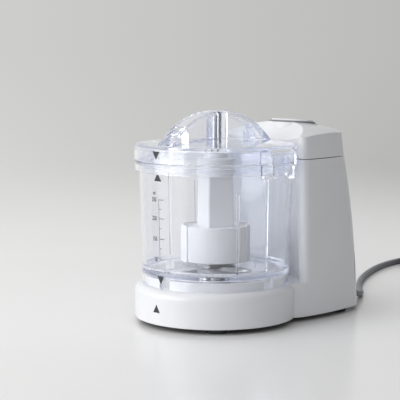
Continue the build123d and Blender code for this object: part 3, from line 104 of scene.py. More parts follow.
def round_axis(r: Array, t: Array, z: Array) -> Array:
    """Points (r cos t, r sin t, z), broadcast over the three arrays."""
    return np.stack([r * np.cos(t), r * np.sin(t), z + 0.0 * t], axis=-1)


def at_height(plan: Array, height: float) -> Array:
    """Plan points laid at one height."""
    return np.hstack([plan, np.full((len(plan), 1), height)])


def section_at(section: Array, y: float) -> Array:
    """(x, z) points of a section stood up at one place along Y."""
    return np.stack([section[:, 0], np.full(len(section), y), section[:, 1]], axis=-1)


def link(name: str, data: ID) -> Object:
    """Put a mesh, curve, lamp or camera into the scene under a name."""
    obj = bpy.data.objects.new(name, data)
    bpy.context.scene.collection.objects.link(obj)
    return obj


def baked(obj: Object) -> Mesh:
    """New mesh with an object's modifiers or letters worked in."""
    bpy.context.view_layer.update()
    graph = bpy.context.evaluated_depsgraph_get()
    return bpy.data.meshes.new_from_object(obj.evaluated_get(graph))


def add_object(
    name: str, points: Array, faces: Iterable[Sequence[int]], body: str | None = None
) -> Object:
    """Put points and faces into a new object at the origin.

    Args:
        name: The piece's name.
        points: (n, 3) array of millimetres round the bowl's axis.
        faces: Vertex indices of each face.
        body: The body that the piece rides on, or nothing for a shape used only as a tool.

    Returns:
        The new object, with doubles merged and faces turned outward.
    """
    mesh = bpy.data.meshes.new(name)
    mesh.from_pydata(to_metres(points).tolist(), [], [list(map(int, f)) for f in faces])
    work = bmesh.new()
    work.from_mesh(mesh)
    bmesh.ops.remove_doubles(work, verts=work.verts, dist=MERGE)
    bmesh.ops.dissolve_degenerate(work, edges=work.edges, dist=MERGE / 2)
    bmesh.ops.recalc_face_normals(work, faces=work.faces)
    work.to_mesh(mesh)
    work.free()
    obj = link(name, mesh)
    if body is not None:
        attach(obj, body)
    return obj


def grid_faces(rows: int, columns: int, wrap_rows: bool, wrap_columns: bool) -> Array:
    """Quads of a grid whose point (i, j) has the index i * columns + j.

    Args:
        rows: Number of rows.
        columns: Number of points in each row.
        wrap_rows: Whether the last row joins the first.
        wrap_columns: Whether each row closes on itself.

    Returns:
        (faces, 4) array of indices.
    """
    i = np.arange(rows if wrap_rows else rows - 1)[:, None]
    j = np.arange(columns if wrap_columns else columns - 1)[None, :]
    k, n = (i + 1) % rows, (j + 1) % columns
    corners = np.broadcast_arrays(i * columns + j, i * columns + n, k * columns + n, k * columns + j)
    return np.stack(corners, axis=-1).reshape(-1, 4)


def round_corners(corners: Sequence[tuple[float, float, float]], steps: int = 5) -> Array:
    """Closed outline with each corner (a, b, radius) replaced by an arc.

    The arc starts and ends at radius / tan(half the corner's angle) from the corner, and its
    points turn evenly from one tangent to the other about centre = corner + bisector *
    radius / sin(half angle).

    Args:
        corners: Corner coordinates and radii, in order.
        steps: Number of spans in each arc.

    Returns:
        (n, 2) array of outline points.
    """
    spots = np.array([c[:2] for c in corners], float)
    out: list[Array] = []
    for index, (a, b, radius) in enumerate(corners):
        here = np.array([a, b])
        if radius <= 0.0:
            out.append(here[None, :])
            continue
        back = spots[index - 1] - here
        ahead = spots[(index + 1) % len(spots)] - here
        back_length, ahead_length = np.linalg.norm(back), np.linalg.norm(ahead)
        back, ahead = back / back_length, ahead / ahead_length
        half = 0.5 * math.acos(float(np.clip(back @ ahead, -1.0, 1.0)))
        reach = min(radius / math.tan(half), 0.49 * back_length, 0.49 * ahead_length)
        radius = reach * math.tan(half)
        bisector = (back + ahead) / np.linalg.norm(back + ahead)
        centre = here + bisector * radius / math.sin(half)
        first, last = here + back * reach - centre, here + ahead * reach - centre
        t0, t1 = math.atan2(first[1], first[0]), math.atan2(last[1], last[0])
        turn = (t1 - t0 + math.pi) % TAU - math.pi
        angles = t0 + turn * np.linspace(0.0, 1.0, steps + 1)
        out.append(centre + radius * unit(angles))
    return np.vstack(out)


def revolve(name: str, outline: Array, turns: int = 192, body: str | None = None) -> Object:
    """Closed solid of revolution: point (r, z) of the outline goes to (r cos t, r sin t, z)."""
    t = np.linspace(0.0, TAU, turns, endpoint=False)
    points = round_axis(outline[:, :1], t, outline[:, 1:]).reshape(-1, 3)
    on_axis = outline[0, 0] < 1e-6 and outline[-1, 0] < 1e-6
    return add_object(name, points, grid_faces(len(outline), turns, not on_axis, True), body)


def loft(name: str, rings: Array, body: str | None = None) -> Object:
    """Closed skin over a stack of rings (rows, points, 3), with a flat face at each end."""
    rows, columns = rings.shape[:2]
    faces = [tuple(q) for q in grid_faces(rows, columns, False, True)]
    faces.append(tuple(range(columns)))
    faces.append(tuple(range((rows - 1) * columns, rows * columns)))
    return add_object(name, rings.reshape(-1, 3), faces, body)


def block(name: str, x: Sequence[float], y: Sequence[float], z: Sequence[float]) -> Object:
    """Plain box used to cut or join, from its (low, high) pairs."""
    plan = np.array([(x[0], y[0]), (x[1], y[0]), (x[1], y[1]), (x[0], y[1])], float)
    return loft(name, np.stack([at_height(plan, height) for height in z]))


def cylinder(name: str, radius: float, low: float, high: float, turns: int = 192) -> Object:
    """Plain upright cylinder used to cut or join."""
    return revolve(name, np.array([[0.0, low], [radius, low], [radius, high], [0.0, high]]), turns)


def turned(points: Array, degrees: float) -> Array:
    """Points turned about the bowl's axis: x' = x cos a - y sin a, y' = x sin a + y cos a."""
    a = math.radians(degrees)
    c, s = math.cos(a), math.sin(a)
    return points @ np.array([[c, s, 0.0], [-s, c, 0.0], [0.0, 0.0, 1.0]])


def turn_mesh(obj: Object, degrees: float) -> Object:
    """Turn an object's mesh about the bowl's axis and give the object back."""
    centre = along_y(BOWL_Y)
    obj.data.transform(centre @ Matrix.Rotation(math.radians(degrees), 4, "Z") @ centre.inverted())
    return obj


class Join(Enum):
    """How a tool shape changes the shape that it is used on."""

    ADD = "UNION"
    CUT = "DIFFERENCE"
    KEEP = "INTERSECT"


def work_on(target: Object, how: Join, *tools: Object) -> Object:
    """Join, cut or keep the target's mesh with each tool, and remove the tools."""
    for tool in tools:
        step = target.modifiers.new("shape", "BOOLEAN")
        step.operation = how.value
        step.solver = "MANIFOLD"
        step.object = tool
        mesh = baked(target)
        target.modifiers.clear()
        old, target.data = target.data, mesh
        mesh.name = target.name
        bpy.data.meshes.remove(old)
        bpy.data.meshes.remove(tool.data)
    return target


def soften(obj: Object, width: float, angle: float = 40.0, segments: int = 2) -> Object:
    """Round an object's sharp edges to a width in millimetres and shade the rest smooth."""
    mesh = obj.data
    mesh.shade_smooth()
    mesh.set_sharp_from_angle(angle=math.radians(angle))
    if width > 0.0:
        bevel = obj.modifiers.new("edges", "BEVEL")
        bevel.limit_method = "ANGLE"
        bevel.angle_limit = math.radians(angle)
        bevel.width = width * MM
        bevel.segments = segments
        bevel.miter_outer = "MITER_ARC"
    weigh = obj.modifiers.new("normals", "WEIGHTED_NORMAL")
    weigh.keep_sharp = True
    weigh.weight = 60
    return obj


def smooth_copy(node: str, name: str, body: str, angle: float = 32.0) -> Object:
    """Merged and smoothly shaded copy of a CAD node, which stands for it."""
    obj = link(name, frame["nodes"][node].data.copy())
    work = bmesh.new()
    work.from_mesh(obj.data)
    bmesh.ops.remove_doubles(work, verts=work.verts, dist=COPY_MERGE)
    work.to_mesh(obj.data)
    work.free()
    obj.data.materials.clear()
    obj.data.shade_smooth()
    obj.data.set_sharp_from_angle(angle=math.radians(angle))
    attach(obj, body)
    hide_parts(node)
    return obj


def lug_span(side: int) -> tuple[float, float]:
    """A latch lug's span along Y, before it is turned to its side of the bowl (0 or 180)."""
    front, back = LUG_SPAN
    return (front, back) if side == 0 else (-back, -front)


def linear(code: str) -> tuple[float, float, float, float]:
    """Turn an sRGB hex colour into Blender's linear colour."""
    parts = [int(code[i : i + 2], 16) / 255.0 for i in (1, 3, 5)]
    red, green, blue = [c / 12.92 if c <= 0.04045 else ((c + 0.055) / 1.055) ** 2.4 for c in parts]
    return red, green, blue, 1.0


def empty_tree(owner: Material | World) -> NodeTree:
    """Give a material or world an empty node tree."""
    owner.use_nodes = True
    owner.node_tree.nodes.clear()
    return owner.node_tree


def add_node(
    tree: NodeTree, kind: str, settings: dict | None = None, links: dict | None = None
) -> Node:
    """Add a node, set its properties or sockets, and link its inputs.

    Args:
        tree: The node tree.
        kind: The node's type name without its ShaderNode prefix.
        settings: Socket names or property names with their values.
        links: Input sockets, each with the node whose first output feeds it, or with a
            (node, output name) pair.

    Returns:
        The new node.
    """
    node = tree.nodes.new("ShaderNode" + kind)
    for key, value in (settings or {}).items():
        if isinstance(key, int) or key in node.inputs:
            node.inputs[key].default_value = value
        else:
            setattr(node, key, value)
    for key, source in (links or {}).items():
        source, output = source if isinstance(source, tuple) else (source, 0)
        tree.links.new(source.outputs[output], node.inputs[key])
    return node


def blank(name: str) -> tuple[Material, NodeTree, Node]:
    """New material, its empty node tree, and a node that tells the place on the object."""
    material = bpy.data.materials.new(name)
    tree = empty_tree(material)
    return material, tree, add_node(tree, "TexCoord")


def noise(tree: NodeTree, scale: float, detail: float, place: Node | tuple[Node, str]) -> Node:
    """Noise at a scale per metre, over the places that a node gives."""
    return add_node(tree, "TexNoise", {"Scale": scale, "Detail": detail}, {"Vector": place})


@dataclass(frozen=True)
class Moulded:
    """Injection-moulded thermoplastic: even colour, a faint cloud of tone, and fine orange peel."""

    name: str
    colour: str
    shade: str
    roughness: float
    spread: float = 0.05
    grain_mm: float = 1.6
    relief: float = 0.05
    coat: float = 0.0
    coat_roughness: float = 0.06
    ior: float = 1.5
    metallic: float = 0.0
    cloud_scale: float = 38.0
    relief_m: float = 0.00005

    def build(self) -> Material:
        """Make the material: noise in object space varies the tone, the gloss and the surface."""
        material, tree, place = blank(self.name)
        cloud = noise(tree, self.cloud_scale, 3.0, (place, "Object"))
        tones = {"Color1": linear(self.colour), "Color2": linear(self.shade)}
        tone = add_node(tree, "MixRGB", tones, {"Fac": cloud})
        grain = noise(tree, 1000.0 / self.grain_mm, 2.0, (place, "Object"))
        low, high = max(self.roughness - self.spread, 0.02), self.roughness + self.spread
        gloss = add_node(tree, "MapRange", {"To Min": low, "To Max": high}, {"Value": cloud})
        peel = {"Strength": self.relief, "Distance": self.relief_m}
        bump = add_node(tree, "Bump", peel, {"Height": grain})
        look = {
            "IOR": self.ior,
            "Metallic": self.metallic,
            "Coat Weight": self.coat,
            "Coat Roughness": self.coat_roughness,
        }
        links = {"Base Color": tone, "Roughness": gloss, "Normal": bump}
        skin = add_node(tree, "BsdfPrincipled", look, links)
        add_node(tree, "OutputMaterial", {}, {"Surface": skin})
        return material


@dataclass(frozen=True)
class ClearMoulding:
    """Clear styrene plastic: hard gloss, a faint blue cast that deepens along its thick edges."""

    name: str
    tint: str = "#fbfcff"
    depth_tint: str = "#a8bcee"
    shadow_tint: str = "#f6f7f9"
    density: float = 3.2
    roughness: float = 0.015
    ior: float = 1.52
    wave_scale: float = 55.0
    relief: float = 0.04
    relief_m: float = 0.0004

    def build(self) -> Material:
        """Make the material: a clear shell that lets the lamps' light through to what it holds."""
        material, tree, place = blank(self.name)
        waves = noise(tree, self.wave_scale, 1.0, (place, "Object"))
        ripple = {"Strength": self.relief, "Distance": self.relief_m}
        bump = add_node(tree, "Bump", ripple, {"Height": waves})
        limits = {"To Min": self.roughness * 0.6, "To Max": self.roughness * 1.6}
        gloss = add_node(tree, "MapRange", limits, {"Value": waves})
        look = {"Base Color": linear(self.tint), "Transmission Weight": 1.0, "IOR": self.ior}
        skin = add_node(tree, "BsdfPrincipled", look, {"Normal": bump, "Roughness": gloss})
        through = add_node(tree, "BsdfTransparent", {"Color": linear(self.shadow_tint)})
        ray = add_node(tree, "LightPath")
        mix = add_node(tree, "MixShader", {}, {0: (ray, "Is Shadow Ray"), 1: skin, 2: through})
        depth = {"Color": linear(self.depth_tint), "Density": self.density}
        body = add_node(tree, "VolumeAbsorption", depth)
        add_node(tree, "OutputMaterial", {}, {"Surface": mix, "Volume": body})
        return material


@dataclass(frozen=True)
class GroundMetal:
    """Cut and ground metal: fine parallel scratches that stretch its highlights."""

    name: str
    colour: str
    roughness: float
    scratch_mm: float = 0.35
    relief: float = 0.12
    relief_m: float = 0.00004
    stretch: float = 14.0

    def build(self) -> Material:
        """Make the material: noise stretched along one way drives roughness and relief."""
        material, tree, place = blank(self.name)
        along = {"Scale": (1.0, self.stretch, 1.0)}
        drawn = add_node(tree, "Mapping", along, {"Vector": (place, "Object")})
        scratch = noise(tree, 1000.0 / self.scratch_mm / self.stretch, 4.0, drawn)
        limits = {"To Min": self.roughness * 0.7, "To Max": self.roughness * 1.4}
        gloss = add_node(tree, "MapRange", limits, {"Value": scratch})
        grooves = {"Strength": self.relief, "Distance": self.relief_m}
        bump = add_node(tree, "Bump", grooves, {"Height": scratch})
        look = {"Base Color": linear(self.colour), "Metallic": 1.0}
        skin = add_node(tree, "BsdfPrincipled", look, {"Roughness": gloss, "Normal": bump})
        add_node(tree, "OutputMaterial", {}, {"Surface": skin})
        return material


class Finish(Enum):
    """Finishes of the chopper's pieces."""

    # Gloss ABS: bright, with soft-edged reflections of the room.
    WHITE_ABS = Moulded("white_gloss_abs", "#f3f4f6", "#eeeff2", 0.22, 0.04, 2.2, 0.04, 0.25)
    # Polypropylene: milky and satin, so its highlights spread.
    WHITE_PP = Moulded("white_satin_polypropylene", "#eff0f2", "#e8e9eb", 0.38, 0.06, 1.4, 0.10)
    # Styrene acrylonitrile: clear as glass, and blue along its thick edges.
    CLEAR_SAN = ClearMoulding("clear_styrene_acrylonitrile")
    # Screen ink: flat and dark.
    PRINT = Moulded("screen_ink", "#2c2e33", "#34363c", 0.55, 0.05, 0.6, 0.10)
    # Textured ABS: dark to mid grey, with a dull sheen.
    BLACK_ABS = Moulded("black_satin_abs", "#17181b", "#202226", 0.40, 0.06, 1.0, 0.15)
    TRIM_ABS = Moulded("grey_trim_abs", "#85878a", "#7c7e81", 0.40, 0.06, 1.0, 0.10)
    COVER_ABS = Moulded("dark_cover_abs", "#1c1d20", "#26282b", 0.55, 0.06, 0.9, 0.25)
    # Rubber: black and dull, so it reads as a dark line at the foot.
    RUBBER = Moulded("black_rubber", "#0f0f10", "#1a1a1c", 0.75, 0.08, 0.8, 0.35)
    # Soft PVC: mid grey with a low, waxy gloss.
    CORD_PVC = Moulded("grey_cord_pvc", "#7d7f83", "#717378", 0.36, 0.06, 1.2, 0.12)
    GUARD_PVC = Moulded("grey_guard_pvc", "#74767a", "#696b6f", 0.45, 0.06, 1.0, 0.15)
    # Lacquered copper wire and stacked steel sheet: half metallic, broken highlights.
    WINDING = Moulded(
        "enamelled_copper_wire", "#a8602f", "#7c3f1c", 0.30, 0.08, 0.5, 0.45, 0.3, metallic=0.6
    )
    CORE = Moulded("laminated_core_steel", "#5d6064", "#474a4e", 0.42, 0.08, 0.6, 0.35, metallic=0.8)
    # Cut metals, from the warm, matt bearing bronze to bright plating and the dull turned pin.
    BRONZE = GroundMetal("sintered_bronze", "#b98a4e", 0.42, 0.5, 0.25)
    GROUND_STEEL = GroundMetal("ground_stainless_steel", "#c9cbce", 0.22)
    PLATED = GroundMetal("plated_steel", "#d6d8da", 0.14, 0.6, 0.05)
    PIN_STEEL = GroundMetal("turned_pin_steel", "#85878b", 0.34, 0.4, 0.10)

    def material(self) -> Material:
        """The finish's material, made the first time it is asked for."""
        made = bpy.data.materials.get(self.value.name)
        return made if made is not None else self.value.build()

    def dress(self, obj: Object) -> Object:
        """Give an object this finish alone."""
        if "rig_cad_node" in obj and obj.material_slots:
            for slot in obj.material_slots:
                slot.link = "OBJECT"
                slot.material = self.material()
            return obj
        obj.data.materials.clear()
        obj.data.materials.append(self.material())
        return obj


NODE_FINISHES = {
    Finish.COVER_ABS: ("bottom_cover", "carbon_brushes"),
    Finish.BLACK_ABS: ("pulse_switch", "interlock_switch", "coil_tie"),
    Finish.WHITE_PP: (
        "switch_carrier", "interlock_plunger", "cord_clamp", "terminal_block",
        "drive_tip", "driven_pulley", "cooling_fan",
    ),
    Finish.RUBBER: ("spindle_seal", "drive_belt"),
    Finish.CORD_PVC: ("inner_lead",),
    Finish.CORE: ("lower_bracket", "upper_bracket", "motor_stator", "armature_core"),
    Finish.WINDING: ("field_coils", "armature_windings", "commutator"),
    Finish.BRONZE: ("upper_bush", "lower_bush", "brush_holders"),
    Finish.GROUND_STEEL: ("motor_pulley",),
    Finish.PIN_STEEL: ("lid_pin",),
    Finish.PLATED: (
        "cover_screws", "lower_bearing", "upper_bearing", "motor_bolts",
        "drive_spindle", "spindle_clip", "motor_shaft", "plug_pins",
    ),
}


@dataclass
class TowerPlan:
    """Plan of the motor tower at any height: a bowed rectangle with round corners."""

    centre_y: float = 62.0
    half_width: float = 52.6
    half_depth: float = 49.0
    bow: float = 5.0
    corner: float = 25.0
    heights: tuple[float, ...] = (3.5, 36.0, 80.0, 110.5)
    insets: tuple[float, ...] = (0.0, 1.6, 5.3, 9.4)
    fine_steps: int = 60

    def inset_at(self, height: float) -> float:
        """Inset at a height, on the cubic through the four given ones."""
        return float(np.polyval(np.polyfit(self.heights, self.insets, 3), height))

    def outline(self, inset: float, steps: int = 14) -> Array:
        """Outline of one section.

        Each side is an arc of radius R = (bow^2 + c^2) / (2 bow) over the half chord c, and
        each corner an arc of radius q about the point whose distances from the two side
        centres are R1 - q and R2 - q.

        Args:
            inset: How far the section is drawn in from the widest one.
            steps: Points on each half side and on each corner.

        Returns:
            (n, 2) array of plan points.
        """
        a, b, q = self.half_width - inset, self.half_depth - inset, self.corner - inset
        ca, cb = a - self.bow, b - self.bow
        r1 = (self.bow**2 + cb**2) / (2 * self.bow)
        r2 = (self.bow**2 + ca**2) / (2 * self.bow)
        x1, y2 = a - r1, b - r2
        d = math.hypot(x1, y2)
        along = ((r1 - q) ** 2 - (r2 - q) ** 2 + d**2) / (2 * d)
        away = math.sqrt((r1 - q) ** 2 - along**2)
        ux, uy = -x1 / d, y2 / d
        cx, cy = x1 + along * ux - away * uy, along * uy + away * ux
        t1 = math.atan2(cy, cx - x1)
        t2 = math.atan2(cy - y2, cx)
        s = np.linspace(0.0, 1.0, steps)
        side = np.array([x1, 0.0]) + r1 * unit(s * t1)
        corner = np.array([cx, cy]) + q * unit(t1 + (t2 - t1) * s[1:])
        top = np.array([0.0, y2]) + r2 * unit(t2 + (TAU / 4 - t2) * s[1:])
        first = np.vstack([side, corner, top])
        second = (first * [-1.0, 1.0])[::-1][1:]
        half = np.vstack([first, second])
        lower = (half * [1.0, -1.0])[::-1][1:-1]
        return np.vstack([half, lower]) + np.array([0.0, self.centre_y])

    def front(self, inset: float, radius: float, rounding: float) -> Array:
        """Plan of all that lies in front of the bowl's bay, with the bay's two corners rounded.

        A corner's centre lies on the outline drawn in by the rounding, where that is
        radius + rounding away from the bowl's axis.

        Args:
            inset: How far the tower's section is drawn in at this height.
            radius: The bay's radius.
            rounding: Radius of the corners between the bay and the tower's sides.

        Returns:
            (n, 2) array of plan points.
        """
        core = self.outline(inset + rounding, self.fine_steps)
        quarter = core[(core[:, 0] > 0.0) & (core[:, 1] < self.centre_y)]
        far = np.hypot(quarter[:, 0], quarter[:, 1])
        order = np.argsort(far)
        centre = np.array([np.interp(radius + rounding, far[order], quarter[order, k]) for k in (0, 1)])
        skin = self.outline(inset, self.fine_steps)
        out = skin[np.argmin(np.hypot(*(skin - centre).T))] - centre
        out /= np.hypot(*out)
        turn = np.linspace(math.atan2(-centre[1], -centre[0]), math.atan2(out[1], out[0]), 12)
        corner = centre + rounding * unit(turn)
        start = math.atan2(centre[1], centre[0])
        bay = radius * unit(np.linspace(start, math.pi - start, 90)[1:-1])
        clear_of_tower = corner[-1] + 30.0 * out
        right = np.vstack([[120.0, -120.0], clear_of_tower, corner[::-1]])
        left = (right * [-1.0, 1.0])[::-1]
        return np.vstack([right, bay, left])

    def rings(self, heights: Sequence[float], extra: float = 0.0) -> Array:
        """Rings of the tower at several heights, drawn in by an extra inset."""
        insets = [self.inset_at(max(height, self.heights[0])) for height in heights]
        return np.stack([at_height(self.outline(i + extra), z) for i, z in zip(insets, heights)])


@dataclass
class DriveBase:
    """White platform and tower in one moulding, with its collar, boss, feet and cap."""

    plan: TowerPlan = field(default_factory=TowerPlan)
    platform_radius: float = 55.5
    platform_top: float = 27.0
    foot_height: float = 3.5
    edge: float = 5.5
    wall: float = 2.5
    bay_radius: float = 57.5
    bay_corner: float = 4.0
    seam: float = 110.5
    seam_gap: float = 0.5
    collar_radius: float = 48.2
    collar_wall: float = 2.2
    collar_height: float = 6.2
    collar_notch: float = 9.0
    boss_radius: float = 11.0
    boss_bore: float = 4.6
    boss_top: float = 34.2
    seal_seat: float = 7.0
    crown_top: float = 134.5
    crown_radius: float = 126.0
    crown_y: float = 69.0
    crown_inset: float = 11.2
    crown_edge: float = 128.0
    seam_inset: float = 9.4
    facet_y: float = 12.0
    facet_foot: float = 122.0
    button_y: float = 80.0
    button_x: float = 17.5
    button_half_y: float = 11.0
    button_gap: float = 0.2
    bezel: float = 1.6
    guide: float = 3.6
    button_wall: float = 1.8
    button_skin: float = -0.7
    stem_radius: float = 1.8
    spring_foot: float = -15.0
    travel: float = 3.0

    def build(self) -> None:
        """Make and dress every piece of the base."""
        self.housing()
        self.cap()
        self.button()
        Finish.RUBBER.dress(smooth_copy("rubber_feet", "foot_pads", "base"))
        Finish.GUARD_PVC.dress(smooth_copy("cord_guard", "cord_strain_relief", "base"))
        LOG.info("drive base done")

    def housing(self) -> None:
        """Platform turned about the bowl's axis, joined to the lofted tower and hollowed."""
        low, top, r = self.foot_height, self.platform_top, self.platform_radius
        rim = round_corners([(0, low, 0), (r, low, 0.8), (r, top, self.edge), (0, top, 0)], 9)
        shell = revolve("housing_shell", rim, FINE, "base")
        tower = loft("tower", self.plan.rings(np.linspace(low, self.seam - self.seam_gap / 2, 22)))
        work_on(tower, Join.CUT, self.bay(top, 0.0))
        work_on(shell, Join.ADD, tower)
        under = top - self.wall
        levels = np.concatenate([[-5.0], np.linspace(low, self.seam + 6.0, 12)])
        inner = loft("inner", self.plan.rings(levels, self.wall))
        work_on(inner, Join.CUT, self.bay(under, self.wall))
        work_on(inner, Join.ADD, cylinder("room", r - self.wall, -4.0, under - 0.01, 128))
        work_on(shell, Join.CUT, inner)
        work_on(shell, Join.ADD, self.boss(), self.collar())
        work_on(shell, Join.CUT, cylinder("seat", self.seal_seat, 10.0, self.boss_top + 3.0, 64))
        Finish.WHITE_ABS.dress(soften(shell, 0.7, 42.0))
        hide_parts("base_housing")

    def collar(self) -> Object:
        """Ring that locates the bowl, with four notches for its bayonet."""
        top, c, wall = self.platform_top, self.collar_radius, self.collar_wall
        half, crest = self.collar_notch / 2, top + self.collar_height
        section = [(c - wall, top - 1, 0), (c, top - 1, 0), (c, crest, 0.5), (c - wall, crest, 0.5)]
        collar = revolve("collar", round_corners(section))
        for turn in range(4):
            notch = block("notch", (-half, half), (c - 5, c + 3), (top + 0.4, top + 9))
            work_on(collar, Join.CUT, turn_mesh(notch, 90.0 * turn))
        return collar

    def boss(self) -> Object:
        """Raised ring round the spindle's hole."""
        low, top, r, bore = self.platform_top - 1, self.boss_top, self.boss_radius, self.boss_bore
        section = [(bore, low, 0), (r, low, 0), (r, top, 0.8), (bore, top, 0)]
        return revolve("boss", round_corners(section))

    def front(self, inset: float, shrink: float, height: float) -> Array:
        """Ring at a height round the space in front of the tower, grown by shrink into the tower."""
        plan = self.plan.front(inset + shrink, self.bay_radius + shrink, self.bay_corner - shrink)
        return at_height(plan, height)

    def bay(self, low: float, shrink: float) -> Object:
        """Space in front of the tower from a height up, grown by shrink into the tower."""
        heights = np.linspace(low, self.seam + 12.0, 16)
        return loft("bay", np.stack([self.front(self.plan.inset_at(z), shrink, z) for z in heights]))

    def cap_body(self, name: str, shrink: float, low: float) -> Object:
        """Space between a height and the crown's ball, drawn in by shrink on every side."""
        above = self.crown_top + 2.0
        draft = (self.crown_inset - self.seam_inset) / (self.crown_edge - self.seam)
        stack, space = [], []
        for height in np.linspace(low, above, 6):
            inset = self.seam_inset + draft * (height - self.seam)
            stack.append(at_height(self.plan.outline(inset + shrink), height))
            space.append(self.front(inset, shrink, height + (1.0 if space else -1.0)))
        body = loft(name, np.stack(stack))
        work_on(body, Join.KEEP, self.ball(shrink))
        work_on(body, Join.CUT, loft("bay", np.stack(space)), self.cone(shrink))
        return body

    def ball(self, shrink: float) -> Object:
        """Cap of the large ball: z = z0 + sqrt(R^2 - r^2) over a disc, closed by a flat floor."""
        rho, reach, floor = self.crown_radius - shrink, 75.0, 60.0
        r = np.linspace(0.0, reach, 40)
        z = self.crown_top - self.crown_radius + np.sqrt(rho**2 - r**2)
        outline = np.vstack([np.stack([r, z], axis=-1), [[reach, floor], [0.0, floor]]])
        dome = revolve("dome", outline, 160)
        dome.data.transform(along_y(self.crown_y))
        return dome

    def cone(self, grow: float) -> Object:
        """Cone that opens upward at 45 degrees and bevels the crown towards the bowl."""
        foot, low, rise = self.bay_radius - self.facet_y + grow, self.facet_foot, 30.0
        outline = np.array([[0.0, low], [foot, low], [foot + rise, low + rise], [0.0, low + rise]])
        tool = revolve("facet", outline, FINE)
        tool.data.transform(along_y(self.facet_y))
        return tool

    def crown_frame(self) -> Matrix:
        """Frame on the crown at the button's middle, Z along the crown's own slope, in metres."""
        tilt = math.asin((self.button_y - self.crown_y) / self.crown_radius)
        foot = Vector((0.0, self.crown_y + BOWL_Y, self.crown_top - self.crown_radius)) * MM
        rise = Matrix.Translation((0.0, 0.0, self.crown_radius * MM))
        return Matrix.Translation(foot) @ Matrix.Rotation(-tilt, 4, "X") @ rise

    def oval(self, name: str, rows: Sequence[Sequence[float]], body: str | None = None) -> Object:
        """Oval solid on the crown: each row (grow, z) is an ellipse a + grow by b + grow."""
        t = np.linspace(0.0, TAU, 128, endpoint=False)
        profile = np.array(rows)
        grow, z = profile[:, :1], profile[:, 1:]
        a, b = np.maximum(self.button_x + grow, 0.01), np.maximum(self.button_half_y + grow, 0.01)
        rings = np.stack([a * np.cos(t), b * np.sin(t) - BOWL_Y, z + 0.0 * t], axis=-1)
        obj = loft(name, rings, body)
        obj.data.transform(self.crown_frame())
        return obj

    def cap(self) -> None:
        """Cap with its button well, over an inner hollow."""
        shell = self.cap_body("tower_crown", 0.0, self.seam + self.seam_gap / 2)
        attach(shell, "base")
        work_on(shell, Join.CUT, self.cap_body("hollow", self.wall, self.seam - 3.0))
        well = self.button_gap + self.bezel
        hole = self.oval("hole", [[self.button_gap, -30.0], [self.button_gap, 6.0]])
        guide = self.oval("guide", [[self.guide, -7.0], [self.guide, -1.2]])
        seat = self.oval("seat", [[well, -2.0], [well, 6.0]])
        work_on(shell, Join.ADD, guide)
        work_on(shell, Join.CUT, hole, seat)
        Finish.WHITE_ABS.dress(soften(shell, 1.1, 30.0, 3))
        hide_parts("tower_cap")

    def button(self) -> None:
        """Hollow push button with a domed face and a stem, its spring, and the ring round it."""
        skirt = [[2.2, -8.6], [2.2, -7.2], [0.0, -7.2], [0.0, 0.6]]
        dome = [[-0.15, 1.0], [-0.45, 1.22], [-0.9, 1.32], [-3.0, 1.4], [-6.0, 1.45], [-10.5, 1.48]]
        button = self.oval("button_face", skirt + dome, "button")
        inside = [[-self.button_wall, -12.0], [-self.button_wall, self.button_skin]]
        work_on(button, Join.CUT, self.oval("hollow", inside))
        stem = cylinder("stem", self.stem_radius, -11.5, 0.5, 48)
        stem.data.transform(self.crown_frame() @ along_y(-BOWL_Y))
        work_on(button, Join.ADD, stem)
        Finish.WHITE_ABS.dress(soften(button, 0.0, 60.0))
        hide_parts("pulse_button")
        self.spring()
        ring = self.oval("button_ring", [[1.7, -2.0], [1.7, -0.1], [1.45, 0.12], [1.0, 0.15]], "base")
        work_on(ring, Join.CUT, self.oval("hole", [[self.button_gap, -3.0], [self.button_gap, 2.0]]))
        Finish.TRIM_ABS.dress(soften(ring, 0.0, 40.0))
        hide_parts("button_bezel")

    def spring(self) -> None:
        """Return spring: a smoothly shaded, plated copy of the CAD node, with a mesh of its own."""
        spring = smooth_copy("button_spring", "button_return_spring", "base", 60.0)
        Finish.PLATED.dress(spring)
        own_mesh(spring)


@dataclass
class Latch:
    """One hollow latch lug on the bowl's rim or the lid, over the span y0 to y1."""

    y0: float
    y1: float
    reach: float
    fin: float
    low: float
    high: float
    crest: float = 0.0

    def outer(self, name: str) -> Object:
        """Lug's outside: its XZ outline, rounded at the outer top corner, carried along Y."""
        return self.carried(name, 0.0, self.low, self.high)

    def carried(self, name: str, inset: float, low: float, high: float) -> Object:
        """XZ outline (0, low), (reach, low), (reach, high), (0, high) carried from y0 to y1.

        Args:
            name: The shape's name.
            inset: How far the shape is drawn in from the outside, at its sides and its end.
            low: Height of its underside.
            high: Height of its top.

        Returns:
            The new shape.
        """
        reach, crest = self.reach - inset, max(self.crest - inset, 0.0)
        section = round_corners([(0, low, 0), (reach, low, 0), (reach, high, crest), (0, high, 0)], 8)
        ends = (self.y0 + inset, self.y1 - inset)
        return loft(name, np.stack([section_at(section, y) for y in ends]))


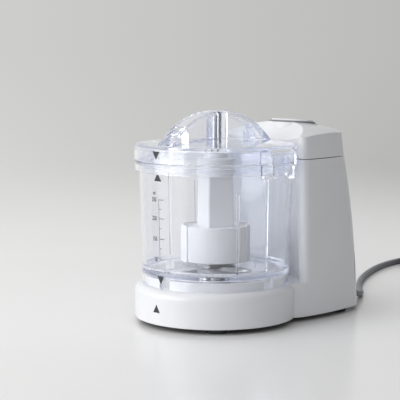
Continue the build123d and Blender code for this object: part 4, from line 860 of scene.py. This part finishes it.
@dataclass
class ChopperBowl:
    """Clear bowl: skirt, floor, hollow post, drafted wall and turned-down rim with latch lugs."""

    gap: float = 0.3
    collar_radius: float = 48.2
    foot: float = 27.3
    foot_radius: float = 50.5
    rim_radius: float = 52.5
    wall: float = 2.2
    floor_low: float = 34.9
    floor: float = 2.0
    band_low: float = 104.0
    top: float = 111.0
    band_radius: float = 55.0
    band_wall: float = 1.4
    flange: float = 1.8
    post_inner: float = 7.2
    post_wall: float = 2.0
    post_top: float = 79.0
    lug_reach: float = 64.0
    lug_low: float = 102.0
    # Turn, half width, depth and top of each rib inside the wall.
    ribs: tuple[tuple[float, ...], ...] = (
        (-119.0, 0.8, 1.1, 92.0),
        (61.0, 0.8, 1.1, 92.0),
        (-93.0, 0.45, 0.9, 102.5),
        (87.0, 0.45, 0.9, 102.5),
    )

    def build(self) -> None:
        """Make the bowl with its ribs and latch lugs."""
        shell = revolve("bowl_shell", round_corners(self.profile(), 5), FINE, "bowl")
        inner = self.foot_radius - self.wall
        low = self.floor_low + self.floor - 0.5
        for turn, half, depth, top in self.ribs:
            rib = block("rib", (-half, half), (inner - depth, inner + self.wall - 0.3), (low, top))
            work_on(shell, Join.ADD, turn_mesh(rib, turn))
        for side in (0, 180):
            work_on(shell, Join.ADD, self.lug(side))
        Finish.CLEAR_SAN.dress(soften(shell, 0.35, 40.0))
        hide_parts("chopper_bowl")
        LOG.info("bowl done")

    def profile(self) -> list[tuple[float, float, float]]:
        """Corners (radius, height, rounding) of the bowl's section."""
        inner, rim, band = self.foot_radius - self.wall, self.rim_radius, self.band_radius
        floor, low, top = self.floor_low + self.floor, self.band_low, self.top
        bore, post = self.post_inner, self.post_inner + self.post_wall
        lip, under = band - self.band_wall, top - self.flange
        skirt = self.collar_radius + self.gap
        outside = [
            (skirt, self.foot, 0.4),
            (self.foot_radius, self.foot, 0.6),
            (rim, low + 2, 0),
            (rim, under, 0.5),
            (lip, under, 0.3),
            (lip, low, 0.4),
            (band, low, 0.5),
            (band, top, 0.8),
        ]
        inside = [
            (rim - self.wall, top, 0.6),
            (inner, floor + 3, 2.0),
            (inner - 3, floor, 2.5),
            (post + 1.5, floor, 0.8),
            (post, floor + 1, 0.4),
            (post - 0.3, self.post_top, 0.6),
            (bore, self.post_top, 0.4),
            (bore, self.floor_low, 0.4),
            (skirt, self.floor_low, 0.8),
        ]
        return outside + inside

    def lug(self, side: int) -> Object:
        """Open box under the rim: two fins, an outer wall, a floor and a snap bar."""
        low, high = lug_span(side)
        box = Latch(low + 1.5, high - 1.0, self.lug_reach, LUG_FIN, self.lug_low, self.top - self.gap)
        lug = box.outer("lug")
        wall, floor = box.reach - box.fin, box.low + box.fin
        room = block("room", (0, wall), (box.y0 + box.fin, box.y1 - box.fin), (floor, self.top + 1))
        work_on(lug, Join.CUT, room, cylinder("bore", self.band_radius - 0.4, 90.0, 120.0, FINE))
        across, along = (box.reach - 6.0, wall + 0.2), (low + 8.5, high - 7.0)
        work_on(lug, Join.ADD, block("bar", across, along, (floor - 0.2, box.low + 4.0)))
        return turn_mesh(lug, side)


@dataclass
class ScalePrint:
    """Dark marks on the bowl, lid and base: a level scale and the closing arrows."""

    bowl: ChopperBowl = field(default_factory=ChopperBowl)
    rim: float = 55.5
    marks: tuple[tuple[str, float], ...] = (("350", 87.2), ("250", 74.6), ("150", 60.9), ("50", 47.1))
    halves: tuple[float, ...] = (80.7, 67.9, 54.5)
    turn: float = -2.3
    line: float = 0.35
    spine: float = 0.36
    tick: float = 4.4
    half_tick: float = 2.1
    number_size: float = 4.1
    number_end: float = -2.5
    unit_size: float = 3.4
    unit_end: float = -3.3
    unit_height: float = 90.3
    letter_width: float = 0.8
    letter_weight: float = 0.09
    lift: float = 0.06
    # Name, body, height of the tip, height of the base, half width and turn of each triangle.
    arrows: tuple[tuple[str, str, float, float, float, float], ...] = (
        ("arrow_bowl", "bowl", 105.0, 99.4, 3.6, -3.0),
        ("arrow_skirt", "bowl", 30.4, 35.8, 3.3, -2.0),
        ("arrow_lid", "cover", 113.8, 119.4, 3.4, -1.0),
        ("arrow_base", "base", 17.6, 12.1, 3.2, -1.0),
    )

    def build(self) -> None:
        """Print the scale and the arrows."""
        half = self.line / 2
        shapes = [self.patch(-self.spine / 2, self.spine / 2, self.marks[-1][1], self.marks[0][1])]
        shapes += [self.patch(0.0, self.tick, z - half, z + half) for _, z in self.marks]
        shapes += [self.patch(0.0, self.half_tick, z - half, z + half) for z in self.halves]
        faces, base = [], 0
        for flat, quads in shapes:
            faces += (quads + base).tolist()
            base += len(flat)
        scale = np.vstack([flat for flat, _ in shapes])
        self.lay("bowl_scale", scale, faces, self.bowl_radius, self.turn, "bowl")
        for text, z in self.marks:
            self.letters("scale_" + text, text, self.number_end, z - 1.5, self.number_size)
        self.letters("scale_unit", "ml", self.unit_end, self.unit_height, self.unit_size)
        for name, body, tip, foot, half, turn in self.arrows:
            flat, quads = self.arrow(tip, foot, half)
            radius = self.bowl_radius if body == "bowl" else self.rim_radius
            self.lay(name, flat, quads.tolist(), radius, turn, body)
        LOG.info("print done")

    def bowl_radius(self, z: Array) -> Array:
        """Outer radius of the bowl's drafted wall: its foot's radius + its lean * (z - foot)."""
        bowl = self.bowl
        lean = (bowl.rim_radius - bowl.foot_radius) / (bowl.band_low + 2 - bowl.foot)
        return bowl.foot_radius + lean * (z - bowl.foot)

    def rim_radius(self, z: Array) -> Array:
        """Outer radius of the lid's rim and of the platform, the same at any height."""
        return self.rim + 0.0 * z

    @staticmethod
    def patch(s0: float, s1: float, z0: float, z1: float) -> tuple[Array, Array]:
        """Strip in (along the wall, height), divided so that it can follow the wall."""
        s = np.linspace(s0, s1, 2 + int((s1 - s0) / 1.0))
        z = np.linspace(z0, z1, 2 + int((z1 - z0) / 4.0))
        grid = np.stack(np.meshgrid(s, z, indexing="ij"), axis=-1).reshape(-1, 2)
        return grid, grid_faces(len(s), len(z), False, False)

    @staticmethod
    def arrow(tip: float, base: float, half: float) -> tuple[Array, Array]:
        """Triangle from its tip's height to its base's, wider as the distance from the tip."""
        t = np.linspace(0.02, 1.0, 7)[:, None]
        s = np.linspace(-1.0, 1.0, 7)[None, :]
        grid = np.stack([s * t * half, tip + (base - tip) * t + 0.0 * s], axis=-1).reshape(-1, 2)
        return grid, grid_faces(7, 7, False, False)

    def lay(
        self,
        name: str,
        flat: Array,
        faces: list,
        radius: Callable[[Array], Array],
        degrees: float,
        body: str,
    ) -> None:
        """Lay a flat shape on a round wall: angle = degrees + s / r, measured from the front.

        Args:
            name: The piece's name.
            flat: (n, 2) array of points, along the wall and up.
            faces: Vertex indices of each face.
            radius: Function from height to the wall's radius.
            degrees: Angle of s = 0 from the front towards +X.
            body: The body that carries the print.
        """
        r = radius(flat[:, 1]) + self.lift
        angle = math.radians(degrees) + flat[:, 0] / r
        points = np.stack([r * np.sin(angle), -r * np.cos(angle), flat[:, 1]], axis=-1)
        mesh = bpy.data.meshes.new(name)
        mesh.from_pydata(to_metres(points).tolist(), [], faces)
        obj = link(name, mesh)
        self.face_out(obj)
        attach(obj, body)
        Finish.PRINT.dress(obj)

    @staticmethod
    def face_out(obj: Object) -> None:
        """Turn a sheet's faces so that they look away from the bowl's axis."""
        work = bmesh.new()
        work.from_mesh(obj.data)
        work.normal_update()
        axis, level = Vector((0.0, BOWL_Y * MM, 0.0)), Vector((1, 1, 0))
        inward = [f for f in work.faces if f.normal.dot((f.calc_center_median() - axis) * level) < 0]
        bmesh.ops.reverse_faces(work, faces=inward)
        work.to_mesh(obj.data)
        work.free()

    def letters(self, name: str, text: str, s: float, z: float, size: float) -> None:
        """Print a short text on the bowl, its right end at s."""
        curve = bpy.data.curves.new(name, "FONT")
        curve.body = text
        curve.size = size
        curve.align_x = "RIGHT"
        curve.resolution_u = 3
        curve.offset = self.letter_weight
        holder = link(name + "_flat", curve)
        mesh = baked(holder)
        spots = np.zeros(len(mesh.vertices) * 3)
        mesh.vertices.foreach_get("co", spots)
        flat = spots.reshape(-1, 3)[:, :2] * np.array([self.letter_width, 1.0]) + np.array([s, z])
        faces = [tuple(p.vertices) for p in mesh.polygons]
        bpy.data.objects.remove(holder)
        self.lay(name, flat, faces, self.bowl_radius, self.turn, "bowl")


@dataclass
class ChopperLid:
    """Clear lid: rim and spigot, low cone, hollow arched grip with a pin boss, latch lugs."""

    radius: float = 55.5
    wall: float = 2.0
    foot: float = 111.3
    shoulder: float = 122.0
    shoulder_radius: float = 3.5
    centre: float = 126.0
    spigot: float = 49.8
    spigot_low: float = 106.0
    grip_half: float = 7.6
    grip_reach: float = 48.5
    grip_apex: float = 144.2
    grip_foot: float = 123.0
    grip_low: float = 121.0
    hollow_half: float = 5.6
    hollow_reach: float = 33.0
    hollow_apex: float = 142.9
    hollow_foot: float = 134.0
    hollow_low: float = 111.0
    boss: float = 7.4
    pin_hole: float = 2.02
    pin_top: float = 142.45
    lug_reach: float = 65.0
    lug_top: float = 121.0
    lug_crest: float = 7.0

    def build(self) -> None:
        """Make the lid."""
        r, wall, spigot, low = self.radius, self.wall, self.spigot, self.spigot_low
        under, inner = self.shoulder - wall, spigot - wall
        lean = (self.centre - self.shoulder) / r
        corners = [
            (r - wall, self.foot, 0.3),
            (r, self.foot, 0.5),
            (r, self.shoulder, self.shoulder_radius),
            (0.0, self.centre, 0),
            (0.0, self.centre - wall, 0),
            (inner, under + lean * (r - spigot), 1.2),
            (inner - 0.4, low, 0.4),
            (spigot - 0.8, low, 0.4),
            (spigot, low + 3, 0.8),
            (spigot, under, 0.4),
            (r - wall, under, 1.0),
        ]
        lid = revolve("lid_shell", round_corners(corners, 6), FINE, "cover")
        work_on(lid, Join.ADD, self.grip())
        work_on(lid, Join.CUT, self.hollow())
        work_on(lid, Join.ADD, cylinder("boss", self.boss, 118.5, self.hollow_apex + 0.4, 96))
        work_on(lid, Join.CUT, cylinder("pin_hole", self.pin_hole, 90.0, self.pin_top, 64))
        for side in (0, 180):
            work_on(lid, Join.ADD, self.lug(side))
        Finish.CLEAR_SAN.dress(soften(lid, 0.45, 38.0, 3))
        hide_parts("lid")
        LOG.info("lid done")

    @staticmethod
    def arc(reach: float, apex: float, foot: float, count: int) -> Array:
        """(y, z) points of the circle through (-reach, foot), (0, apex), (reach, foot)."""
        rise = apex - foot
        r = (reach**2 + rise**2) / (2 * rise)
        half = math.asin(reach / r)
        t = np.linspace(-half, half, count)
        return np.stack([r * np.sin(t), apex - r + r * np.cos(t)], axis=-1)

    @staticmethod
    def bar(name: str, half: float, low: float, arc: Array, rounding: float, steps: int) -> Object:
        """Bar along Y whose section, a rectangle with round top corners, reaches up to an arc.

        Args:
            name: The shape's name.
            half: Half of its width.
            low: Height of its underside.
            arc: (n, 2) array of places along Y with the height of the top there.
            rounding: Radius of the top corners.
            steps: Spans in each rounded corner.

        Returns:
            The new shape.
        """
        rows = []
        for y, z in arc:
            foot = [(-half, low, 0), (half, low, 0)]
            section = round_corners(foot + [(half, z, rounding), (-half, z, rounding)], steps)
            rows.append(section_at(section, y))
        return loft(name, np.stack(rows))

    def grip(self) -> Object:
        """Arched grip, trimmed inside the lid's rim."""
        arc = self.arc(self.grip_reach, self.grip_apex, self.grip_foot, 61)
        arc[:, 1] = np.maximum(arc[:, 1], self.grip_low + 0.6)
        bar = self.bar("grip", self.grip_half, self.grip_low, arc, 1.6, 6)
        return work_on(bar, Join.KEEP, cylinder("trim", self.radius - 4.0, 100.0, 160.0, 192))

    def hollow(self) -> Object:
        """Hollow under the grip, cut with the same kind of bar."""
        arc = self.arc(self.hollow_reach, self.hollow_apex, self.hollow_foot, 41)
        return self.bar("hollow", self.hollow_half, self.hollow_low, arc, 2.0, 5)

    def lug(self, side: int) -> Object:
        """Latch: top plate that rolls over into an outer wall, on two fins."""
        foot, top = self.foot + 0.02, self.lug_top
        box = Latch(*lug_span(side), self.lug_reach, LUG_FIN, foot, top, self.lug_crest)
        lug = box.outer("lug")
        room = box.carried("room", box.fin, self.foot - 1.0, box.high - box.fin)
        work_on(lug, Join.CUT, room, cylinder("bore", self.radius - 0.5, 90.0, 150.0, FINE))
        return turn_mesh(lug, side)


@dataclass
class BladeCarrier:
    """White carrier with its drum, and two ground blades at its foot."""

    hub_radius: float = 12.9
    cap_radius: float = 7.75
    cap_top: float = 117.0
    shoulder: float = 111.6
    neck: float = 101.0
    foot: float = 38.2
    square_top: float = 18.8
    square_foot: float = 20.4
    turn: float = 23.0
    root_radius: float = 12.37
    bore: float = 9.6
    pin_bore: float = 2.1
    post_top: float = 79.5
    cup_radius: float = 23.1
    cup_wall: float = 1.8
    cup_top: float = 66.2
    cup_recess: float = 1.2
    cup_web: float = 1.8
    cup_low: float = 42.0
    band_radius: float = 23.8
    band_arc: float = 62.0
    band_rise: float = 0.6
    blade_turn: float = -42.0
    blade_root: float = 9.8
    blade_tip: float = 43.0
    blade_half: float = 6.5
    blade_sweep: float = 30.0
    blade_height: float = 39.4
    blade_step: float = 1.3
    blade_thickness: float = 1.2
    # Places across the blade from its back to its edge, with the share of the thickness there.
    bevel: tuple[tuple[float, float], ...] = (
        (0.0, 1.0), (0.35, 1.0), (0.66, 1.0), (0.8, 0.58), (0.93, 0.2), (1.0, 0.02),
    )

    def build(self) -> None:
        """Make the carrier and the blades."""
        neck = [
            (0, self.neck - 0.5, 0),
            (self.hub_radius, self.neck - 0.5, 0.5),
            (self.hub_radius, self.shoulder, 0.9),
            (self.cap_radius, self.shoulder, 0.5),
            (self.cap_radius, self.cap_top, 0.8),
            (0, self.cap_top, 0),
        ]
        hub = revolve("blade_carrier", round_corners(neck), 160, "blade")
        root = cylinder("root", self.root_radius, self.foot + 0.05, self.cup_low + 1.1, 100)
        work_on(hub, Join.ADD, work_on(self.shank(), Join.ADD, root, self.cup()))
        for half in (0.0, 180.0):
            work_on(hub, Join.ADD, self.band(self.blade_turn + 90.0 + half))
        bore = cylinder("bore", self.bore, 20.0, self.post_top, 90)
        work_on(hub, Join.CUT, bore, cylinder("pin_bore", self.pin_bore, 98.0, 125.0, 48))
        Finish.WHITE_PP.dress(soften(hub, 0.5, 35.0))
        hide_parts("blade_hub")
        turn, height = self.blade_turn, self.blade_height
        self.blade("blade_low", "lower_blade", turn, height)
        self.blade("blade_high", "upper_blade", turn + 180.0, height + self.blade_step)
        LOG.info("blade carrier done")

    def shank(self) -> Object:
        """Square shank that narrows upward, its corners trimmed round."""
        rows = []
        for z in np.linspace(self.foot, self.neck, 8):
            part = (z - self.foot) / (self.neck - self.foot)
            h = 0.5 * (self.square_foot + (self.square_top - self.square_foot) * part)
            plan = round_corners([(h, h, 1.6), (-h, h, 1.6), (-h, -h, 1.6), (h, -h, 1.6)], 4)
            rows.append(turned(at_height(plan, z), self.turn - 45.0))
        shank = loft("shank", np.stack(rows))
        return work_on(shank, Join.KEEP, cylinder("trim", self.hub_radius + 0.3, 30.0, 110.0, 160))

    def cup(self) -> Object:
        """Round skirt under a web that lies just below its rim."""
        r, inside, web = self.cup_radius, self.cup_radius - self.cup_wall, self.cup_top - self.cup_recess
        section = [
            (9.0, web - self.cup_web, 0),
            (inside, web - self.cup_web, 1.0),
            (inside, self.cup_low, 0.3),
            (r, self.cup_low, 0.4),
            (r, self.cup_top, 0.5),
            (inside, self.cup_top, 0.5),
            (inside, web, 0.4),
            (9.0, web, 0),
        ]
        return revolve("cup", round_corners(section), 160)

    def band(self, degrees: float) -> Object:
        """Raised sector of the cup's wall: (r, z) outline swept over its arc about the axis."""
        inner, outer = self.cup_radius - 0.9, self.band_radius
        low, top = self.cup_low, self.cup_top + self.band_rise
        corners = [
            (inner, low + 0.5, 0),
            (outer - 0.6, low - 0.8, 0),
            (outer, low, 0),
            (outer, top, 0.5),
            (inner, top, 0.3),
        ]
        outline = round_corners(corners, 3)
        t = np.radians(np.linspace(-self.band_arc / 2, self.band_arc / 2, 40) + degrees)[:, None]
        return loft("band", round_axis(outline[None, :, 0], t, outline[None, :, 1]))

    def blade(self, name: str, node: str, turn: float, height: float) -> None:
        """Sickle blade with a ground bevel.

        Across the blade the back runs from (root, half) over a bow to the tip, and the edge
        from (root, -half) to the tip. Thickness is full over the back two thirds and falls
        to a fiftieth of itself at the edge.

        Args:
            name: The piece's name.
            node: The node that it stands for.
            turn: Angle of the blade about the axis, in degrees.
            height: Height of the blade's underside.
        """
        u = np.linspace(0.0, 1.0, 44)
        sweep = math.radians(self.blade_sweep)
        tip = np.array([self.blade_tip * math.cos(sweep), self.blade_tip * math.sin(sweep)])
        root, half, reach = self.blade_root, self.blade_half, self.blade_tip
        back = self.bow(np.array([root, half]), np.array([reach * 0.55, half + 6.5]), tip, u)
        edge = self.bow(np.array([root, -half]), np.array([reach * 0.80, 3.5]), tip, u)
        v, share = np.array(self.bevel).T
        thick = share * self.blade_thickness
        plan = back[:, None, :] + (edge - back)[:, None, :] * v[None, :, None]
        low = np.concatenate([plan, np.full(plan.shape[:2] + (1,), height)], axis=-1)
        high = low + thick[None, :, None] * np.array([0.0, 0.0, 1.0])
        rings = np.concatenate([low, high[:, ::-1]], axis=1)
        blade = loft(name, turned(rings.reshape(-1, 3), turn).reshape(rings.shape), "blade")
        Finish.GROUND_STEEL.dress(soften(blade, 0.0, 12.0))
        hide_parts(node)

    @staticmethod
    def bow(a: Array, m: Array, b: Array, u: Array) -> Array:
        """Parabola through a at 0, m at 1/2 and b at 1: Lagrange's three terms."""
        u = u[:, None]
        return a * (2 * u - 1) * (u - 1) + m * 4 * u * (1 - u) + b * u * (2 * u - 1)


@dataclass
class SupplyLead:
    """Grey lead on the worktop, its spare length in a small coil, and its plug."""

    radius: float = 2.3
    exit_x: float = 31.0
    exit_y: float = 107.3
    exit_z: float = 8.6
    exit_turn: float = 16.0
    exit_drop: float = 12.0
    guard: float = 15.0
    coil_x: float = -22.0
    coil_y: float = 300.0
    coil_space: float = 1.35
    coil_mid: float = 25.3
    half_turns: int = 4
    plug_lead: float = 16.0
    # Plan points between the guard and the coil.
    way: tuple[tuple[float, float], ...] = (
        (9.2, 149.8), (-5.8, 168.3), (-21.0, 191.9), (-34.5, 218.5), (-46.0, 248.0),
    )

    def out(self, distance: float) -> list[float]:
        """Point on the guard's own axis, out from the housing's wall."""
        drop, turn = math.radians(self.exit_drop), math.radians(self.exit_turn)
        along, down = math.cos(drop) * distance, math.sin(drop) * distance
        x, y = self.exit_x - along * math.sin(turn), self.exit_y + along * math.cos(turn)
        return [x, y, self.exit_z - down]

    def route(self) -> Array:
        """Control points of the lead, from the guard's end through the coil to the plug."""
        pitch = 2 * self.radius + self.coil_space
        outer = self.coil_mid + pitch * (self.half_turns - 1) / 4
        entry = self.coil_x - outer
        start = [self.out(self.guard), self.out(self.guard + 14.6)]
        free = at_height(np.array([*self.way, (entry, self.coil_y - 24.0)]), self.radius)
        return np.vstack([start, free, self.coil(entry, pitch, outer)])

    def coil(self, x: float, pitch: float, outer: float) -> Array:
        """Control points of the coil: six to each half turn, on a circle 1 / cos(15 deg) larger.

        Half turns shrink by half a pitch each, then one climbs a pitch as z = z0 + pitch *
        (1 - cos(angle)) / 2, and the same half turns grow again on top.

        Args:
            x: Where the first half turn starts.
            pitch: Distance between neighbouring turns.
            outer: Radius of the first half turn.

        Returns:
            (n, 3) array of points, with the short straight end to the plug.
        """
        falling = [outer - pitch / 2 * i for i in range(self.half_turns)]
        radii = falling + [falling[-1] - pitch / 4] + falling[::-1]
        part = (np.arange(6) + 0.5) / 6.0
        side, out = 1.0, []
        for index, r in enumerate(radii):
            angle = math.pi * part
            grow = r / math.cos(math.pi / 12)
            level = self.radius + (pitch if index > self.half_turns else 0.0)
            climb = pitch * (1 - np.cos(angle)) / 2 if index == self.half_turns else 0.0 * angle
            across = x + side * r - side * grow * np.cos(angle)
            along = self.coil_y + side * grow * np.sin(angle)
            out.append(np.stack([across, along, level + climb], axis=-1))
            x, side = x + side * 2 * r, -side
        top = self.radius + pitch
        end = [[x, self.coil_y - 4.0, top], [x, self.coil_y - self.plug_lead, top]]
        return np.vstack([*out, end])

    def build(self) -> None:
        points = to_metres(self.route())
        curve = bpy.data.curves.new("supply_lead", "CURVE")
        curve.dimensions = "3D"
        spline = curve.splines.new("NURBS")
        spline.points.add(len(points) - 1)
        spline.points.foreach_set("co", np.hstack([points, np.ones((len(points), 1))]).ravel())
        spline.order_u = 3
        spline.use_endpoint_u = True
        spline.resolution_u = 10
        curve.bevel_depth = self.radius * MM
        curve.bevel_resolution = 5
        curve.use_fill_caps = True
        lead = link("supply_lead", curve)
        Finish.CORD_PVC.dress(lead)
        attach(lead, "base")
        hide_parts("power_cord", "cord_coil", "plug_lead")
        plug = smooth_copy("plug_body", "plug_shell", "base", 40.0)
        Finish.GUARD_PVC.dress(plug)
        LOG.info("lead done")


@dataclass(frozen=True)
class SoftLamp:
    """Square lamp: its place as in Studio.spot, its side in millimetres and its power."""

    name: str
    place: tuple[float, float, float]
    side: float
    power: float


@dataclass
class Studio:
    """Pale floor, soft lamps and the camera at the photograph's angle."""

    right: tuple[float, float] = (0.7133, 0.7009)
    away: tuple[float, float] = (-0.7009, 0.7133)
    eye_right: float = -10.7
    eye_away: float = -915.0
    eye_height: float = 188.0
    pitch: float = 6.55
    focal_px: float = 1341.0
    image_px: float = 400.0
    sensor: float = 36.0
    look_at: tuple[float, float, float] = (20.0, 10.0, 70.0)
    lamps: tuple[SoftLamp, ...] = (
        SoftLamp("window_lamp", (-930.0, -335.0, 340.0), 1000.0, 7.5),
        SoftLamp("ceiling_lamp", (-200.0, 150.0, 1100.0), 700.0, 1.8),
    )
    bounces: int = 96
    floor_radius_m: float = 40.0
    floor_tones: tuple[str, str] = ("#f0f0ef", "#ececeb")
    # The worktop turns into the room's tone between these distances from the origin, in metres.
    fade: tuple[float, float] = (0.3, 1.3)
    room_glow: str = "#ececee"
    room_left: str = "#d6d6d4"
    room_right: str = "#b2b2b1"
    room_light: float = 0.36
    room_slope: float = 0.42
    bright_side: tuple[float, float, float] = (-0.17, -0.90, 0.40)
    # The worktop is lifted a little by a painted glow, which ambient occlusion takes away within this
    # distance of the object, so its shade stays dark there.
    floor_painted_glow: float = 0.12
    contact_m: float = 0.05
    clear_lift: float = 0.28

    def spot(self, right: float, away: float, height: float) -> Vector:
        """Point from its distances to the right, away from the viewer and up, in the frame."""
        x = self.right[0] * right + self.away[0] * away
        y = self.right[1] * right + self.away[1] * away
        return Vector(to_metres(np.array([x, y, height])))

    def build(self) -> None:
        """Make the floor, lamps, world and camera."""
        self.floor()
        for lamp in self.lamps:
            self.light(lamp)
        self.world()
        self.camera()
        # Light that is caught between the clear walls needs many bounces before it comes out.
        paths = bpy.context.scene.cycles
        paths.max_bounces = self.bounces
        paths.transmission_bounces = self.bounces
        paths.glossy_bounces = self.bounces
        paths.transparent_max_bounces = 24

    def floor(self) -> None:
        """Pale worktop with a soft gloss."""
        mesh = bpy.data.meshes.new("worktop")
        rim = round_axis(self.floor_radius_m, np.linspace(0.0, TAU, 96, endpoint=False), 0.0)
        mesh.from_pydata(rim.tolist(), [], [tuple(range(len(rim)))])
        floor = link("worktop", mesh)
        mesh.materials.append(self.worktop())

    def worktop(self) -> Material:
        """Pale laminate with a soft gloss and a faint painted glow, kept off near the object, which
        fades into the room's own tone further off.
        """
        material, tree, place = blank("pale_worktop_laminate")
        cloud = noise(tree, 9.0, 2.0, (place, "Object"))
        tones = {"Color1": linear(self.floor_tones[0]), "Color2": linear(self.floor_tones[1])}
        tone = add_node(tree, "MixRGB", tones, {"Fac": cloud})
        skin = add_node(tree, "BsdfPrincipled", {"Roughness": 0.2, "IOR": 1.45}, {"Base Color": tone})
        far = add_node(tree, "VectorMath", {"operation": "LENGTH"}, {0: (place, "Object")})
        reach = {"From Min": self.fade[0], "From Max": self.fade[1], "interpolation_type": "SMOOTHSTEP"}
        fade = add_node(tree, "MapRange", reach, {"Value": (far, "Value")})
        way = add_node(tree, "VectorMath", {"operation": "NORMALIZE"}, {0: (place, "Object")})
        distant = self.room_light_to_eye(tree, "Emission", way, "Vector")
        # Painted glow on the worktop. Ambient occlusion weakens it near the object, which paints the
        # contact shade darker than the glow around it.
        open_sky = add_node(tree, "AmbientOcclusion", {"Distance": self.contact_m, "samples": 8})
        depth = add_node(tree, "Math", {"operation": "POWER", 1: 2.0}, {0: (open_sky, "AO")})
        painted_glow_strength = add_node(tree, "Math", {"operation": "MULTIPLY", 1: self.floor_painted_glow}, {0: depth})
        lift = add_node(tree, "Emission", {"Color": linear("#ffffff")}, {"Strength": painted_glow_strength})
        near = add_node(tree, "AddShader", {}, {0: skin, 1: lift})
        view = add_node(tree, "MixShader", {}, {0: fade, 1: near, 2: distant})
        mix = add_node(tree, "MixShader", {}, {0: self.seen(tree), 1: skin, 2: view})
        add_node(tree, "OutputMaterial", {}, {"Surface": mix})
        return material

    def room_light_to_eye(self, tree: NodeTree, kind: str, way: Node, output: str) -> Node:
        """Emission or Background shader with the room's tone along a direction."""
        links = {"Color": self.room_tone(tree, way, output), "Strength": self.glow(tree)}
        return add_node(tree, kind, {}, links)

    def room_tone(self, tree: NodeTree, way: Node, output: str) -> Node:
        """The room's tone along a direction, paler on the window's side."""
        across = (self.right[0], self.right[1], 0.0)
        side = add_node(tree, "VectorMath", {"operation": "DOT_PRODUCT", 1: across}, {0: (way, output)})
        ends = {"From Min": -0.3, "From Max": 0.3}
        blend = add_node(tree, "MapRange", ends, {"Value": (side, "Value")})
        tones = {"Color1": linear(self.room_left), "Color2": linear(self.room_right)}
        return add_node(tree, "MixRGB", tones, {"Fac": blend})

    def glow(self, tree: NodeTree) -> Node:
        """Strength of the room's tone: one to the eye, and more in gloss and through clear walls."""
        ray = add_node(tree, "LightPath")
        kinds = {0: (ray, "Is Glossy Ray"), 1: (ray, "Is Transmission Ray")}
        bent = add_node(tree, "Math", {"operation": "MAXIMUM"}, kinds)
        lift = {"operation": "MULTIPLY_ADD", 1: self.clear_lift, 2: 1.0}
        return add_node(tree, "Math", lift, {0: bent})

    @staticmethod
    def seen(tree: NodeTree) -> Node:
        """One for rays from the eye, in gloss and through clear walls, and nought for the others."""
        ray = add_node(tree, "LightPath")
        either = {"operation": "MAXIMUM"}
        eye = add_node(tree, "Math", either, {0: (ray, "Is Camera Ray"), 1: (ray, "Is Glossy Ray")})
        return add_node(tree, "Math", either, {0: eye, 1: (ray, "Is Transmission Ray")})

    def light(self, lamp: SoftLamp) -> None:
        """Put up a lamp so that it faces the object."""
        light = bpy.data.lights.new(lamp.name, "AREA")
        light.shape = "SQUARE"
        light.size = lamp.side * MM
        light.energy = lamp.power
        obj = link(lamp.name, light)
        obj.location = self.spot(*lamp.place)
        aim = self.spot(*self.look_at) - obj.location
        obj.rotation_euler = aim.to_track_quat("-Z", "Y").to_euler()

    def world(self) -> None:
        """Grey room that lights softly, and shows its tone where rays from the eye end."""
        world = bpy.data.worlds.new("room")
        bpy.context.scene.world = world
        tree = empty_tree(world)
        place = add_node(tree, "TexCoord")
        facing = {"operation": "DOT_PRODUCT", 1: self.bright_side}
        side = add_node(tree, "VectorMath", facing, {0: (place, "Generated")})
        slope = {"operation": "MULTIPLY_ADD", 1: self.room_slope, 2: self.room_light}
        level = add_node(tree, "Math", slope, {0: (side, "Value")})
        lit = add_node(tree, "Background", {"Color": linear(self.room_glow)}, {"Strength": level})
        view = self.room_light_to_eye(tree, "Background", place, "Generated")
        mix = add_node(tree, "MixShader", {}, {0: self.seen(tree), 1: lit, 2: view})
        add_node(tree, "OutputWorld", {}, {"Surface": mix})

    def camera(self) -> None:
        """Camera with the photograph's place, pitch and focal length."""
        lens = bpy.data.cameras.new("viewer")
        lens.sensor_width = self.sensor
        lens.sensor_fit = "HORIZONTAL"
        lens.lens = self.focal_px / self.image_px * self.sensor
        lens.clip_start = 0.02
        lens.clip_end = 30.0
        camera = link("viewer", lens)
        camera.location = self.spot(self.eye_right, self.eye_away, self.eye_height)
        yaw = math.atan2(-self.away[0], self.away[1])
        camera.rotation_euler = (math.radians(90.0 - self.pitch), 0.0, yaw)
        bpy.context.scene.camera = camera
        bpy.context.scene.view_settings.view_transform = "Standard"


def main() -> None:
    """Build the chopper and its studio."""
    logging.basicConfig(level=logging.INFO, format="%(message)s")
    Studio().build()
    for finish, nodes in NODE_FINISHES.items():
        for node in nodes:
            finish.dress(frame["nodes"][node])
    DriveBase().build()
    ChopperBowl().build()
    ScalePrint().build()
    ChopperLid().build()
    BladeCarrier().build()
    SupplyLead().build()


if __name__ == "__main__":
    main()
